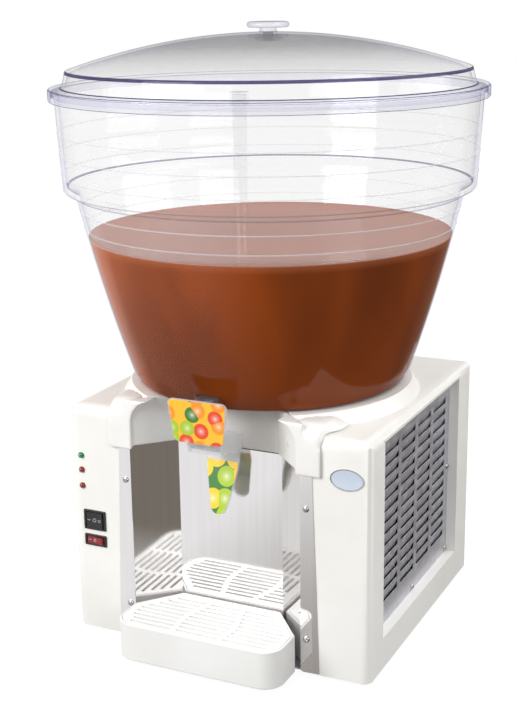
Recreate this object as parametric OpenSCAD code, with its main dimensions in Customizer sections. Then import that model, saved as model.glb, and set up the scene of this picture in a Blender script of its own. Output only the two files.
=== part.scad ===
// Cold drink dispenser: a clear bowl of drink over a refrigerated base, with a push tap.
// Millimetres, +Z up, front towards -Y, origin on the table under the bowl's axis.

/* [Base housing] */
// Width of the base
base_w = 400; // [380:1:420]
// Depth of the base
base_d = 382; // [370:1:410]
// From the bowl's axis forward to the housing's front face
front_reach = 168; // [160:1:174]
// Height of the deck's edge over the table
deck_h = 304; // [296:1:310]
// From the deck up to the bowl's underside
seat_up = 16; // [12:1:22]
// Wall of the moulded housing
shell_t = 3; // [2.5:0.5:4]
// Radius of the upright corners
corner_r = 12; // [6:1:14]
// Radius of the top edges
shoulder_r = 14; // [6:1:16]
// Radius of the raised seat under the bowl
seat_r = 178; // [175:1:182]
// How far the raised seat spreads down to the deck
seat_spread = 10; // [4:1:12]
// Thickness of the raised seat
seat_t = 4; // [3:0.5:5]
// Height of the rubber feet
foot_h = 6; // [4:1:12]
// Radius of a rubber foot
foot_r = 15; // [10:1:20]
// How much a foot narrows to the table
foot_draft = 2; // [0:0.5:4]
// From the base's edges to the middle of a foot
foot_inset = 36; // [30:1:50]
// Thickness of the steel base pan
pan_t = 2; // [1.5:0.5:3]
// Height of the pan's turned-up edge
pan_lip = 12; // [8:1:20]

/* [Vent windows] */
// From the front face to a side window
win_front = 45; // [40:1:50]
// From the rear face to a side window
win_rear = 57; // [45:1:60]
// From the side faces to the rear window
win_side = 44; // [40:1:60]
// Height of the windows' lower edge
win_sill = 46; // [40:1:60]
// From the deck down to a side window
win_head = 11; // [10:1:16]
// From the deck down to the rear window
rear_head = 70; // [50:1:90]
// How deep a panel lies in its window
reveal = 14; // [10:1:18]
// Width of the ledge behind a panel
ledge_w = 10; // [8:1:14]
// Thickness of that ledge
ledge_t = 2; // [1.5:0.5:3]
// Thickness of the louvre panels
panel_t = 1; // [0.8:0.1:1.5]
// Height of one louvre
louvre_h = 9; // [7:0.5:10]
// How far a louvre is pressed in
louvre_in = 5; // [3:0.5:6]
// Gap between columns of louvres
louvre_gap = 10; // [8:1:14]
// From a panel's front edge to its first louvre
louvre_border = 10.5; // [10.5:0.5:14]
// From a panel's last louvre to its rear edge
louvre_rear = 39.5; // [30:0.5:44]
// From a panel's upper edge to its first louvre
louvre_head = 11; // [10:1:14]
// Plain strip along a panel's lower edge
louvre_foot = 29; // [20:1:36]
// Columns of louvres
louvre_cols = 4; // [2:1:4]
// Rows of louvres on a side panel
louvre_rows = 14; // [6:1:14]
// Rows of louvres on the rear panel
rear_rows = 7; // [4:1:8]

// Radius of the gland for the mains lead
gland_r = 8; // [6:0.5:10]
// Bore of that gland
gland_bore_r = 4; // [3:0.5:5]
// From the rear window's edges to the gland
gland_in = 36; // [28:1:44]

/* [Tap recess] */
// Width of the recess at its back
recess_back_w = 140; // [130:1:150]
// Width of the recess at its mouth
recess_mouth_w = 226; // [210:1:230]
// Depth of the recess behind the front face
recess_depth = 44; // [40:1:48]
// Thickness of the stainless liner
liner_t = 1; // [0.8:0.1:1.5]
// From the deck down to the liner's upper edge
liner_drop = 44; // [40:1:50]
// Width of the front strips at the bottom
strip_low_w = 24; // [18:1:28]
// Width of the front strips at the top
strip_top_w = 15; // [14:1:18]
// Height of the strips' lower screws
strip_screw_low = 50; // [30:1:80]
// From the liner's upper edge down to the strips' upper screws
strip_screw_drop = 45; // [30:1:70]
// Length of the screws' shanks
screw_l = 8; // [6:1:10]
// Thickness of the white hood over the recess
hood_t = 4; // [3:0.5:5]
// Width of the hood's legs on the pillars
hood_leg_w = 27; // [20:1:30]
// How far the legs reach below the liner's upper edge
hood_lap = 4; // [2:1:10]
// How much narrower the hood is than the liner
hood_inset = 4; // [2:0.5:6]
// How far the hood's shoulders lie below its top
hood_cap_drop = 1; // [1:0.5:4]
// Radius of the shoulders' front edge
hood_cap_r = 18; // [12:1:20]
// How far a shoulder spreads where it runs out on the deck
hood_spread = 16; // [10:1:18]
// Radius of the hood's arch
arch_r = 30; // [25:1:44]

/* [Bowl and lid] */
// Outer radius of the bowl at its foot
bowl_foot_r = 171; // [168:1:174]
// Radius of the bowl's rounded lower edge
bowl_edge_r = 9; // [6:1:12]
// Wall of the bowl
bowl_t = 4; // [3:0.5:5]
// Thickness of the bowl's floor
floor_t = 6; // [5:0.5:8]
// How far the ledge stands out over the lower wall
ledge_out = 15; // [12:1:18]
// How far the lower wall swells
bowl_swell = 4; // [0:0.5:8]
// Height of the ledge over the foot
ledge_up = 236; // [225:1:245]
// Height of the ledge's slope
ledge_h = 8; // [5:1:12]
// How much the band over the ledge widens to the rim
band_draft = 6; // [4:1:8]
// Outer radius under the rim
rim_r = 258; // [256:1:260]
// Height of the rim over the foot
rim_up = 360; // [350:1:375]
// How far the rim stands out
rim_out = 3.5; // [2:0.5:4]
// Depth of the drink in the bowl
drink_depth = 179; // [160:1:190]
// How far the lid stands out over the rim
lid_over = 3.5; // [3.3:0.1:6]
// Thickness of the lid
lid_t = 3; // [2.5:0.5:4]
// Height of the lid's edge band
lid_band = 14; // [12:1:20]
// From the rim's wall in to the lid's shoulder
lid_shoulder_in = 10; // [8:1:14]
// Height of the lid's shoulder
lid_shoulder_h = 20; // [15:1:25]
// How far the shoulder leans in
lid_lean = 5; // [3:1:8]
// Rise of the lid's dome over its shoulder
lid_rise = 41; // [35:1:50]
// Radius of the lid's knob
knob_r = 25.5; // [20:0.5:28]
// Thickness of the knob
knob_h = 7; // [5:0.5:9]
// Gap between the dome and the knob
knob_gap = 5; // [4:0.5:8]
// Radius of the knob's stem
knob_stem_r = 6; // [5:0.5:8]
// Radius of the nut under the lid
nut_r = 16; // [12:1:18]
// Height of the nut under the lid
nut_h = 7; // [5:0.5:9]

/* [Tap] */
// From the bowl's axis forward to the tap's barrel
tap_reach = 176; // [174:0.5:178]
// Outer radius of the barrel
tap_r = 16; // [15:0.5:17]
// Bore of the barrel
tap_bore_r = 12; // [11:0.5:12.5]
// How far the barrel hangs below the bowl
tap_drop = 35; // [33:1:37]
// How far the barrel stands above the bowl's underside
tap_up = 20; // [18:1:22]
// Thickness of the barrel's end walls
tap_end_t = 3; // [2.5:0.5:3.5]
// Radius of the outlet
outlet_r = 7.5; // [7:0.5:8.5]
// Height of the spout under the barrel
spout_h = 2; // [1:0.5:3]
// Wall of the spout
spout_t = 2.5; // [2:0.5:3]
// From the barrel forward to the lever's pin
pivot_ahead = 17; // [16:0.5:18]
// Height of the pin over the barrel's lower end
pivot_up = 8; // [7.5:0.5:9]
// Radius of the lever's pin
pin_r = 2.5; // [2:0.25:3]
// Radius of the lug round the pin
lug_r = 5; // [4.5:0.5:5]
// Half width of the lug
lug_half = 19.5; // [18:0.5:20]
// Thickness of the lever's mouldings
lever_t = 3; // [2.5:0.5:3.5]
// Width of the shield at its top
shield_top_w = 76; // [70:1:80]
// Width of the shield at its bottom
shield_low_w = 64; // [60:1:68]
// Height of the shield
shield_h = 53; // [48:1:58]
// How far the shield hangs below the pin
shield_drop = 5; // [4:1:8]
// Lean of the shield, its top forward
shield_lean = 4; // [0:1:6]
// Width of the tongue
tongue_w = 42; // [38:1:44]
// Width of the tongue's tip
tongue_tip_w = 22; // [18:1:24]
// From the pin down to the tongue's tip
tongue_drop = 109; // [100:1:115]
// From the pin back to the tongue's tip
tongue_back = 38; // [36:1:40]
// Lean of the tongue, its tip forward
tongue_lean = 15; // [12:1:16]
// Length of the tongue
tongue_l = 92; // [86:1:94]
// From the tongue's tip to its widest place
tongue_waist = 58; // [50:1:66]
// Radius of the shield's corners
shield_r = 7; // [4:1:10]
// Height of the cheeks over the pin
cheek_up = 10; // [8:1:12]
// Width of the bar under the plunger
bar_w = 15; // [12:1:16]
// Thickness of the bar under the plunger
bar_t = 5; // [4:0.5:6]
// How far the plunger's stem hangs below the barrel
stem_drop = 10; // [8:1:12]
// Thickness of the plunger's seal
seal_h = 3; // [2:0.5:4]
// Thickness of the plunger's disc
disc_t = 3; // [2:0.5:4]
// Radius of the plunger's stem
stem_r = 4; // [3:0.5:4.5]
// Turns of the plunger's spring
spring_turns = 6; // [4:1:8]
// Wire of the plunger's spring
spring_wire = 1.2; // [0.8:0.1:1.4]

/* [Drip tray] */
// Height of the tray's top over the table
tray_top = 56; // [50:1:62]
// Width of the tray's front
tray_w = 218; // [206:1:220]
// How far the tray stands out of the front face
tray_out = 64; // [55:1:75]
// From the front face forward to the tray's widest place
tray_flare_out = 9; // [8:1:14]
// Radius of the tray's front corners
tray_corner_r = 25; // [15:1:30]
// Gap between the tray and the recess
tray_gap = 2.5; // [2:0.5:4]
// Wall of the tray
tray_t = 3; // [2.5:0.5:3.5]
// Thickness of the slotted grille
grille_t = 4; // [3:0.5:5]
// Width of a slot
slot_w = 4; // [3:0.5:5]
// From one row of slots to the next
slot_pitch = 9.5; // [8:0.5:12]
// Plain border round the slots
slot_border = 12; // [10:1:16]
// Width of the bridges between slots
slot_bridge = 7; // [5:1:10]

/* [Controls] */
// From the bowl's axis to the middle of the switches
switch_x = 168; // [165:1:170]
// Height of the upper switch
upper_switch_z = 154; // [150:1:160]
// Height of the lower switch
lower_switch_z = 127; // [118:1:130]
// Width of a switch's bezel
bezel_w = 31; // [30:1:32]
// Height of the upper bezel
upper_bezel_h = 26; // [24:1:28]
// Height of the lower bezel
lower_bezel_h = 15; // [14:1:18]
// How far a bezel stands out
bezel_t = 2; // [1.5:0.5:3]
// Border of a bezel round its rocker
bezel_rim = 2.5; // [2:0.5:3]
// Depth of a switch behind the panel
switch_depth = 24; // [20:1:30]
// Tilt of a rocker to one side
rocker_tilt = 8; // [5:1:9]
// From the bowl's axis to the lamps
lamp_x = 184; // [178:1:186]
// Heights of the lamps, from the top
lamp_z = [238, 219, 198];
// Radius of a lamp's lens
lamp_r = 4; // [3:0.5:5]
// Rim of a lamp on the panel
lamp_rim = 1; // [0.5:0.25:1.5]
// Depth of a lamp behind the panel
lamp_depth = 8; // [6:1:12]
// How far a rocker's ends stand out of its axis
rocker_out = 6.5; // [6:0.5:7]
// Depth of the hollow in a rocker's face
rocker_hollow = 1.5; // [0.5:0.5:2]
// Depth of a rocker's axis behind the panel
rocker_deep = 3; // [2:0.5:4]

/* [Cooling] */
// Radius of the cooling drum in the bowl
drum_r = 75; // [70:1:80]
// How far the drum stands over the bowl's underside
drum_up = 126; // [110:1:130]
// Thickness of the drum's steel
drum_t = 1.5; // [1:0.1:2]
// Radius of the drum's top edge
drum_edge_r = 8; // [4:1:12]
// Width of the drum's flange
drum_flange = 20; // [16:1:24]
// Width of the seal round the drum
gasket_w = 9; // [7:0.5:12]
// How far that seal stands over the bowl's floor
gasket_up = 4; // [2:0.5:8]
// Radius of the pump's rotor
rotor_r = 26; // [22:1:28]
// Height of the pump's rotor
rotor_h = 10; // [8:1:12]
// Gap round the pump's rotor
rotor_gap = 3; // [2:0.5:4]
// Radius of the rotor's pin
rotor_pin_r = 3; // [2.5:0.25:4]
// Wall of the pump's cover
cover_t = 4; // [3:0.5:5]
// From the axis left to the spray tube
tube_x = 27; // [25:1:29]
// From the axis forward to the spray tube
tube_y = 26; // [25:1:29]
// Radius of the spray tube
tube_r = 8.5; // [7:0.5:9]
// Wall of the spray tube
tube_t = 1.5; // [1:0.25:2]
// Gap between the spray cap and the lid's band
tube_under = 8; // [6:1:20]
// Radius of the pump's motor
motor_r = 36; // [30:1:40]
// Height of the pump's motor
motor_h = 60; // [50:1:64]
// Radius of the motors' shafts
shaft_r = 3.5; // [3:0.25:4]
// Height of the drive magnet
magnet_h = 18; // [14:1:22]
// Thickness of the plate under the drum
plate_t = 3; // [2:0.5:4]
// Wall of the stand of the pump's motor
stand_t = 8; // [5:1:10]
// Height of the tube's socket
socket_h = 14; // [10:1:20]
// Height of the spray cap
cap_h = 15; // [12:1:20]
// Radius of the compressor
comp_r = 66; // [60:1:70]
// Height of the compressor's shell
comp_h = 168; // [150:1:180]
// Place of the compressor, left of the axis
comp_x = 92; // [86:1:96]
// From the rear face forward to the compressor's axis
comp_ahead = 110; // [104:1:116]
// Thickness of the condenser
cond_t = 34; // [28:1:38]
// Length of the condenser
cond_l = 220; // [200:1:230]
// Height of the condenser
cond_h = 226; // [200:1:240]
// Gap beside the condenser
cond_gap = 7; // [5:1:10]
// Fins on the condenser
cond_fins = 22; // [12:1:26]
// Radius of the fan
fan_r = 92; // [80:1:98]
// Blades on the fan
fan_blades = 5; // [3:1:7]
// Height of the fan's axis
fan_z = 128; // [118:1:136]
// Place of the fan's axis behind the bowl's axis
fan_y = 22; // [16:1:30]
// Radius of the fan's motor
fan_motor_r = 32; // [26:1:36]
// Length of the fan's motor
fan_motor_l = 36; // [30:1:42]
// Radius of the fan's hub
fan_hub_r = 22; // [18:1:26]
// Width of the fan along its axis
fan_h = 16; // [12:1:20]
// Pitch of the fan's blades in degrees
fan_pitch = 28; // [20:1:35]
// Gap round the fan
fan_gap = 3; // [2:0.5:5]
// Thickness of the shroud and the bracket
shroud_t = 2; // [1.5:0.5:3]
// Thickness of a fin
fin_t = 1; // [0.6:0.1:1.2]
// Radius of the condenser's tubes
cond_tube_r = 4; // [3:0.5:5]
// From one tube to the next
cond_pitch = 28; // [24:1:32]
// Height of the compressor's rubber mounts
mount_h = 8; // [6:1:12]
// Thickness of the compressor's foot
comp_foot_t = 4; // [3:0.5:6]
// Radius of the filter drier
drier_r = 11; // [9:0.5:13]
// Length of the filter drier
drier_l = 140; // [110:5:160]
// Width of the thermostat's case
thermostat_w = 36; // [30:1:42]

/* [Fasteners and clearances] */
// Radius of a screw's head
head_r = 4; // [3.5:0.25:4.5]
// Radius of a screw's shank
shank_r = 2; // [1.5:0.25:2.25]
// Slack between pieces that are fitted together
fit = 0.2; // [0.1:0.05:0.3]
// Gap between pieces that move past each other
gap = 0.4; // [0.3:0.05:0.5]
// Radial clearance of a running pin
run = 0.05; // [0.02:0.01:0.08]

/* [Hidden] */
$fn = 96;
over = 1;

front_y = -front_reach;
rear_y = base_d - front_reach;
half_w = base_w / 2;
pan_top = foot_h + pan_t;
seat_h = deck_h + seat_up;
liner_top = deck_h - liner_drop;
seat_top = seat_h - gap;
back_y = front_y + recess_depth;
flare = (recess_mouth_w - recess_back_w) / 2 / recess_depth;
hood_front = front_y - liner_t - hood_t;
hood_top = seat_top - gap;

win_y0 = front_y + win_front;
win_y1 = rear_y - win_rear;
win_z1 = deck_h - win_head;
rear_half = half_w - win_side;
rear_z1 = deck_h - rear_head;
screw_in = ledge_w / 2;

floor_z = seat_h + floor_t;
ledge_z = seat_h + ledge_up;
rim_z = seat_h + rim_up;
drink_z = floor_z + drink_depth;
band_r = rim_r - band_draft;
neck_r = band_r - ledge_out;
lid_r = rim_r + rim_out + lid_over;
lid_shoulder_r = rim_r - lid_shoulder_in;
lid_z = rim_z + gap + lid_t;
dome_r = lid_shoulder_r - lid_lean;
dome_z = lid_z + lid_shoulder_h;
lid_top = dome_z + lid_rise;

drum_top = seat_h + drum_up;
drum_bottom = seat_top - seat_t - drum_t;
gasket_r = drum_r + gap + gasket_w;
chamber_r = rotor_r + rotor_gap;
cover_r = chamber_r + cover_t;
cover_top = drum_top + rotor_h + 2 * gap + cover_t;
tube_z0 = cover_top + fit;
tube_z1 = rim_z - tube_under;
motor_top = drum_top - drum_t - gap - magnet_h;
comp_y = rear_y - comp_ahead;

tap_y = -tap_reach;
tap_z0 = seat_h - tap_drop;
tap_z1 = seat_h + tap_up;
pivot_y = tap_y - pivot_ahead;
pivot_z = tap_z0 + pivot_up;
cheek_in = lug_half + gap;
cheek_out = cheek_in + lever_t;
stem_z0 = tap_z0 - stem_drop;
valve_z = tap_z0 + tap_end_t;

tray_z0 = pan_top + gap;
tray_back_y = back_y - tray_gap;
tray_front_y = front_y - tray_out;
tray_side_y = front_y - tray_flare_out;
tray_half = tray_w / 2;
tray_back_half = recess_half(back_y) - tray_gap;
tray_flare = (tray_half - tray_back_half) / (tray_back_y - tray_side_y);

panel_x = half_w - reveal;
cond_x = panel_x - ledge_t - cond_gap - cond_t;
shroud_x = cond_x - cond_gap;
fan_x = shroud_x - fan_h;

function recess_half(y, d = 0) = recess_back_w / 2 + flare * (back_y - y) + d * sqrt(1 + flare * flare);
function tray_half_at(y, d = 0) =
    min(tray_half - d, tray_back_half + tray_flare * (tray_back_y - y) - d * sqrt(1 + pow(tray_flare, 2)));
// Points on an arc of radius r round c
function arc(c, r, a0, a1, n = 6) =
    [for (i = [0:n]) let (a = a0 + (a1 - a0) * i / n) c + r * [cos(a), sin(a)]];
// Outer radius of the bowl's lower wall at a share s of its height
function wall_r(s) = bowl_foot_r + (neck_r - bowl_foot_r) * s + bowl_swell * 4 * s * (1 - s);
function wall_at(z) = wall_r((z - seat_h) / (ledge_z - seat_h));
// Points of the bowl's lower wall, moved in by d, from z0 up to z1
function lower_wall(z0, z1, d, n = 8) =
    [for (i = [0:n]) let (z = z0 + (z1 - z0) * i / n) [wall_at(z) - d, z]];
// Height of the lid's dome at radius r
function dome(r) = lid_top - lid_rise * pow(r / dome_r, 2);

module both_sides() {
    children();
    mirror([1, 0, 0]) children();
}

module block(x0, x1, y0, y1, z0, z1) {
    translate([x0, y0, z0]) cube([x1 - x0, y1 - y0, z1 - z0]);
}

module rounded_rect(x0, x1, y0, y1, r) {
    translate([x0 + r, y0]) square([x1 - x0 - 2 * r, y1 - y0]);
    translate([x0, y0 + r]) square([x1 - x0, y1 - y0 - 2 * r]);
    for (x = [x0 + r, x1 - r], y = [y0 + r, y1 - r]) translate([x, y]) circle(r);
}

module rounded_top(x0, x1, y0, y1, r) {
    translate([x0, y0]) square([x1 - x0, y1 - y0 - r]);
    translate([x0 + r, y0]) square([x1 - x0 - 2 * r, y1 - y0]);
    for (x = [x0 + r, x1 - r]) translate([x, y1 - r]) circle(r);
}

// Turns an outline in x and z into a slab that runs along y
module along_y(y0, y1) {
    translate([0, y1, 0]) rotate([90, 0, 0]) linear_extrude(y1 - y0) children();
}

// Turns an outline in y and z into a slab that runs along x
module along_x(x0, x1) {
    translate([x0, 0, 0]) rotate([90, 0, 90]) linear_extrude(x1 - x0) children();
}

module ring(r0, r1, z0, z1) {
    translate([0, 0, z0]) linear_extrude(z1 - z0) difference() {
        circle(r1);
        circle(r0);
    }
}

// A screw with its head's seat at the origin, head towards +Z
module pan_screw(length) {
    head_h = head_r * 0.6;
    rotate_extrude() polygon(concat([[0, -length], [shank_r, -length], [shank_r, 0], [head_r, 0]],
        arc([head_r - head_h, 0], head_h, 0, 90), [[0, head_h]]));
}

// Base housing and its pan

// The housing's outer form, moved in by d
module shell_form(d, z0) {
    intersection() {
        translate([0, 0, z0]) linear_extrude(deck_h - d - z0)
            rounded_rect(-half_w + d, half_w - d, front_y + d, rear_y - d, corner_r - d);
        along_y(front_y - over, rear_y + over)
            rounded_top(-half_w + d, half_w - d, z0 - over, deck_h - d, shoulder_r - d);
        along_x(-half_w - over, half_w + over)
            rounded_top(front_y + d, rear_y - d, z0 - over, deck_h - d, shoulder_r - d);
    }
}

// The recess in plan, moved out by d, from y0 back to y1
module recess_plan(d, y0, y1) {
    a = recess_half(y0, d);
    b = recess_half(y1, d);
    polygon([[-a, y0], [a, y0], [b, y1], [-b, y1]]);
}

// A window's frame: a sleeve as deep as the reveal with a ledge at its inner end, face at z = 0
module window_frame(w, h) {
    difference() {
        translate([-shell_t, -shell_t, -reveal - ledge_t])
            cube([w + 2 * shell_t, h + 2 * shell_t, reveal + ledge_t]);
        window_cut(w, h);
    }
}

module window_cut(w, h) {
    translate([0, 0, -reveal]) cube([w, h, reveal + over]);
    translate([ledge_w, ledge_w, -reveal - ledge_t - over]) cube([w - 2 * ledge_w, h - 2 * ledge_w, reveal]);
    for (p = panel_screw_places(w, h)) translate([p[0], p[1], -reveal - ledge_t - over])
        cylinder(r = shank_r + fit, h = reveal);
}

function panel_screw_places(w, h) = [
    for (x = [screw_in, w / 2, w - screw_in], y = [screw_in, h - screw_in]) [x, y],
    for (x = [screw_in, w - screw_in]) [x, h / 2]];

// Places a window drawn in x and y on the right side of the base
module on_right_side() {
    translate([half_w, win_y0, win_sill]) rotate([90, 0, 90]) children();
}

module on_rear() {
    translate([rear_half, rear_y, win_sill]) rotate([90, 0, 180]) children();
}

win_w = win_y1 - win_y0;
win_h = win_z1 - win_sill;
rear_w = 2 * rear_half;
rear_h = rear_z1 - win_sill;

// The raised seat that carries the bowl
module raised_seat() {
    rotate_extrude() polygon([
        [drum_r + gap, seat_top - seat_t], [drum_r + gap, seat_top], [seat_r, seat_top],
        [seat_r + seat_spread, deck_h], [seat_r + seat_spread, deck_h - shell_t],
        [seat_r + seat_spread - seat_t, deck_h - shell_t], [seat_r - seat_t, seat_top - seat_t]]);
}

// The space inside the raised seat's outer form, moved out by d
module seat_space(d) {
    foot = seat_r + seat_spread + d;
    rotate_extrude()
        polygon([[0, foot_h], [foot, foot_h], [foot, deck_h], [seat_r + d, seat_top], [0, seat_top]]);
}

module housing() color("whitesmoke") difference() {
    union() {
        difference() {
            shell_form(0, foot_h);
            shell_form(shell_t, foot_h - over);
            cylinder(r = seat_r + seat_spread - seat_t, h = deck_h + over);
        }
        intersection() {
            raised_seat();
            linear_extrude(seat_h) rounded_rect(-half_w, half_w, front_y, rear_y, corner_r);
        }
        both_sides() on_right_side() window_frame(win_w, win_h);
        on_rear() window_frame(rear_w, rear_h);
    }
    both_sides() on_right_side() window_cut(win_w, win_h);
    on_rear() window_cut(rear_w, rear_h);
    linear_extrude(seat_h) recess_plan(liner_t + fit, hood_front - over, back_y + liner_t + fit);
    both_sides() liner_screw_places() cylinder(r = shank_r + fit, h = 4 * shell_t, center = true);
    switch_hole(upper_switch_z, upper_bezel_h);
    switch_hole(lower_switch_z, lower_bezel_h);
    for (z = lamp_z) translate([-lamp_x, front_y, z]) rotate([90, 0, 0])
        cylinder(r = lamp_r - lamp_rim + fit, h = 4 * shell_t, center = true);
}

module base_pan() color("darkgray") {
    edge = shell_t + fit;
    x1 = half_w - edge;
    y0 = front_y + edge;
    y1 = rear_y - edge;
    top = pan_top + pan_lip;
    mouth = recess_half(front_y, liner_t);
    difference() {
        block(-x1, x1, y0, y1, foot_h, top);
        block(-x1 + pan_t, x1 - pan_t, y0 + pan_t, y1 - pan_t, pan_top, top + over);
        block(-mouth, mouth, front_y, back_y, pan_top, top + over);
        for (x = [-x1, x1], y = [y0, y1]) translate([x, y, 0])
            rotate(45) cube([2 * corner_r, 2 * corner_r, 2 * top + over], center = true);
    }
}

module rubber_feet() color("dimgray")
    for (x = [-half_w + foot_inset, half_w - foot_inset], y = [front_y + foot_inset, rear_y - foot_inset])
        translate([x, y, 0]) cylinder(r1 = foot_r - foot_draft, r2 = foot_r, h = foot_h);

// Tap recess

// Children stand at the two screws of the right strip, turned to face the front
module liner_screw_places() {
    x = recess_half(front_y) + strip_top_w / 2;
    for (z = [strip_screw_low, liner_top - strip_screw_drop])
        translate([x, front_y - liner_t, z]) rotate([90, 0, 0]) children();
}

module recess_liner() color("silver") difference() {
    union() {
        translate([0, 0, pan_top]) linear_extrude(liner_top - pan_top) difference() {
            recess_plan(liner_t, front_y - liner_t, back_y + liner_t);
            recess_plan(0, front_y - liner_t - over, back_y);
        }
        both_sides() along_y(front_y - liner_t, front_y) polygon([
            [recess_half(front_y), pan_top], [recess_half(front_y) + strip_low_w, pan_top],
            [recess_half(front_y) + strip_top_w, liner_top], [recess_half(front_y), liner_top]]);
    }
    both_sides() liner_screw_places() cylinder(r = shank_r + fit, h = 4 * liner_t, center = true);
}

module liner_screws() color("silver") both_sides() liner_screw_places() pan_screw(screw_l);

// A shoulder's run-out: from the leg's front edge at x and y it widens on the deck and dies out behind
module hood_run_out(x, y, z) hull() {
    x0 = x - hood_spread;
    x1 = x + hood_spread;
    block(x - over, x, y - over, y, deck_h - shoulder_r, z - hood_cap_r);
    along_y(hood_front + 2 * hood_cap_r, back_y)
        polygon([[x0, deck_h - over], [x1, deck_h - over], [x, z], [x0, z]]);
    block(x0, x1, back_y + hood_spread, back_y + hood_spread + over, deck_h - over, deck_h);
}

module tap_hood() color("white") {
    leg_x0 = recess_half(front_y, -hood_inset);
    leg_x1 = recess_half(front_y) + hood_leg_w;
    leg_z0 = liner_top - hood_lap;
    leg_back = front_y - liner_t;
    cap_top = hood_top - hood_cap_drop;
    mouth = recess_half(front_y, -hood_inset);
    difference() {
        union() {
            translate([0, 0, liner_top]) linear_extrude(hood_top - liner_top)
                recess_plan(liner_t, hood_front, back_y + liner_t);
            translate([0, 0, liner_top]) linear_extrude(seat_top - seat_t - gap - liner_top)
                recess_plan(liner_t, back_y, back_y + hood_t);
            difference() {
                both_sides() {
                    along_x(leg_x0, leg_x1) polygon(concat([[hood_front, leg_z0]],
                        arc([hood_front + hood_cap_r, cap_top - hood_cap_r], hood_cap_r, 180, 90),
                        [[back_y, cap_top], [back_y, deck_h - shoulder_r],
                         [leg_back, deck_h - shoulder_r], [leg_back, leg_z0]]));
                    hood_run_out(leg_x1, leg_back, cap_top);
                }
                shell_form(-fit, foot_h);
                seat_space(fit);
            }
        }
        intersection() {
            linear_extrude(seat_h) recess_plan(-hood_inset, hood_front - over, back_y);
            along_y(hood_front - over, back_y + over)
                rounded_top(-mouth - over, mouth + over, 0, seat_h, arch_r);
        }
    }
}

// Louvre panels

// One louvre: a blade that hangs from its upper edge and slopes in, open below and at its ends; the
// sheet's outer face is at z = 0
module louvre_blade() {
    along_louvre(louvre_l - 2 * fit) polygon([
        [0, panel_t], [0, 0], [-louvre_in, -louvre_h], [-louvre_in - panel_t, -louvre_h],
        [-panel_t, 0], [-panel_t, panel_t]]);
}

// Runs an outline of height out and place up along a louvre's length, which is centred on x
module along_louvre(l) {
    translate([-l / 2, 0, 0]) rotate([0, 0, 90]) rotate([90, 0, 0]) mirror([1, 0, 0]) rotate([0, 0, 90])
        linear_extrude(l) children();
}

function louvre_places(cols, rows, x0, y1) =
    [for (c = [0:cols - 1], r = [0:rows - 1]) [x0 + c * louvre_col_pitch, y1 - r * louvre_row_pitch]];

module louvre_panel(w, h, places) {
    translate([0, 0, -panel_t]) linear_extrude(panel_t) difference() {
        translate([fit, fit]) square([w - 2 * fit, h - 2 * fit]);
        for (p = places) translate([p[0] - louvre_l / 2, p[1] - louvre_h]) square([louvre_l, louvre_h]);
        for (p = panel_screw_places(w, h)) translate([p[0], p[1]]) circle(shank_r + fit);
    }
    for (p = places) translate([p[0], p[1], 0]) louvre_blade();
}

louvre_col_pitch = (win_w - louvre_border - louvre_rear + louvre_gap) / louvre_cols;
louvre_row_pitch = (win_h - louvre_head - louvre_foot) / louvre_rows;
louvre_l = louvre_col_pitch - louvre_gap;
side_first = louvre_border + louvre_l / 2;
side_places = louvre_places(louvre_cols, louvre_rows, side_first, win_h - louvre_head);
rear_first = rear_w / 2 - (louvre_cols - 1) * louvre_col_pitch / 2;
rear_places = louvre_places(louvre_cols, rear_rows, rear_first, rear_h - 2 * louvre_head);

module in_window() {
    translate([0, 0, -reveal + panel_t]) children();
}

module right_louvre_panel() color("slategray")
    on_right_side() in_window() louvre_panel(win_w, win_h, side_places);

module left_louvre_panel() mirror([1, 0, 0]) right_louvre_panel();

module panel_screws(w, h) {
    for (p = panel_screw_places(w, h)) translate([p[0], p[1], 0]) pan_screw(screw_l);
}

module side_panel_screws() color("dimgray")
    both_sides() on_right_side() in_window() panel_screws(win_w, win_h);

gland_x = rear_w - gland_in;

module at_gland() {
    on_rear() in_window() translate([gland_x, gland_in, 0]) children();
}

module rear_panel() color("slategray") difference() {
    on_rear() in_window() louvre_panel(rear_w, rear_h, rear_places);
    at_gland() cylinder(r = gland_r + fit, h = 4 * panel_t, center = true);
}

module rear_panel_screws() color("dimgray") on_rear() in_window() panel_screws(rear_w, rear_h);

// The grommet that a mains lead would come out of
module cord_gland() color("black") at_gland() rotate_extrude() polygon([
    [gland_bore_r, -gland_r], [gland_r, -gland_r], [gland_r, 0], [gland_r * 1.4, 0],
    [gland_r * 1.3, gland_r / 2], [gland_r * 0.8, gland_r], [gland_bore_r, gland_r]]);

// Lamps and switches on the left pillar

module lamp(z) translate([-lamp_x, front_y, z]) rotate([90, 0, 0]) rotate_extrude() polygon(concat(
    [[0, -lamp_depth], [lamp_r - lamp_rim, -lamp_depth], [lamp_r - lamp_rim, 0],
     [lamp_r, 0], [lamp_r, lamp_rim]],
    arc([0, lamp_rim], lamp_r - lamp_rim / 2, 0, 90)));

module lamp_green() color("seagreen") lamp(lamp_z[0]);

module lamp_red_upper() color("firebrick") lamp(lamp_z[1]);

module lamp_red_lower() color("firebrick") lamp(lamp_z[2]);

rocker_half = bezel_w / 2 - bezel_rim - gap;
rocker_y = front_y + rocker_deep;

// The body of a switch of height h behind its bezel, moved out by d
module switch_body(h, d, y0, y1) {
    x = bezel_w / 2 - bezel_rim / 2 + d;
    z = h / 2 - bezel_rim / 2 + d;
    block(-x, x, y0, y1, -z, z);
}

module switch_hole(z, h) translate([-switch_x, 0, z])
    switch_body(h, fit, front_y - over, front_y + shell_t + over);

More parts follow.
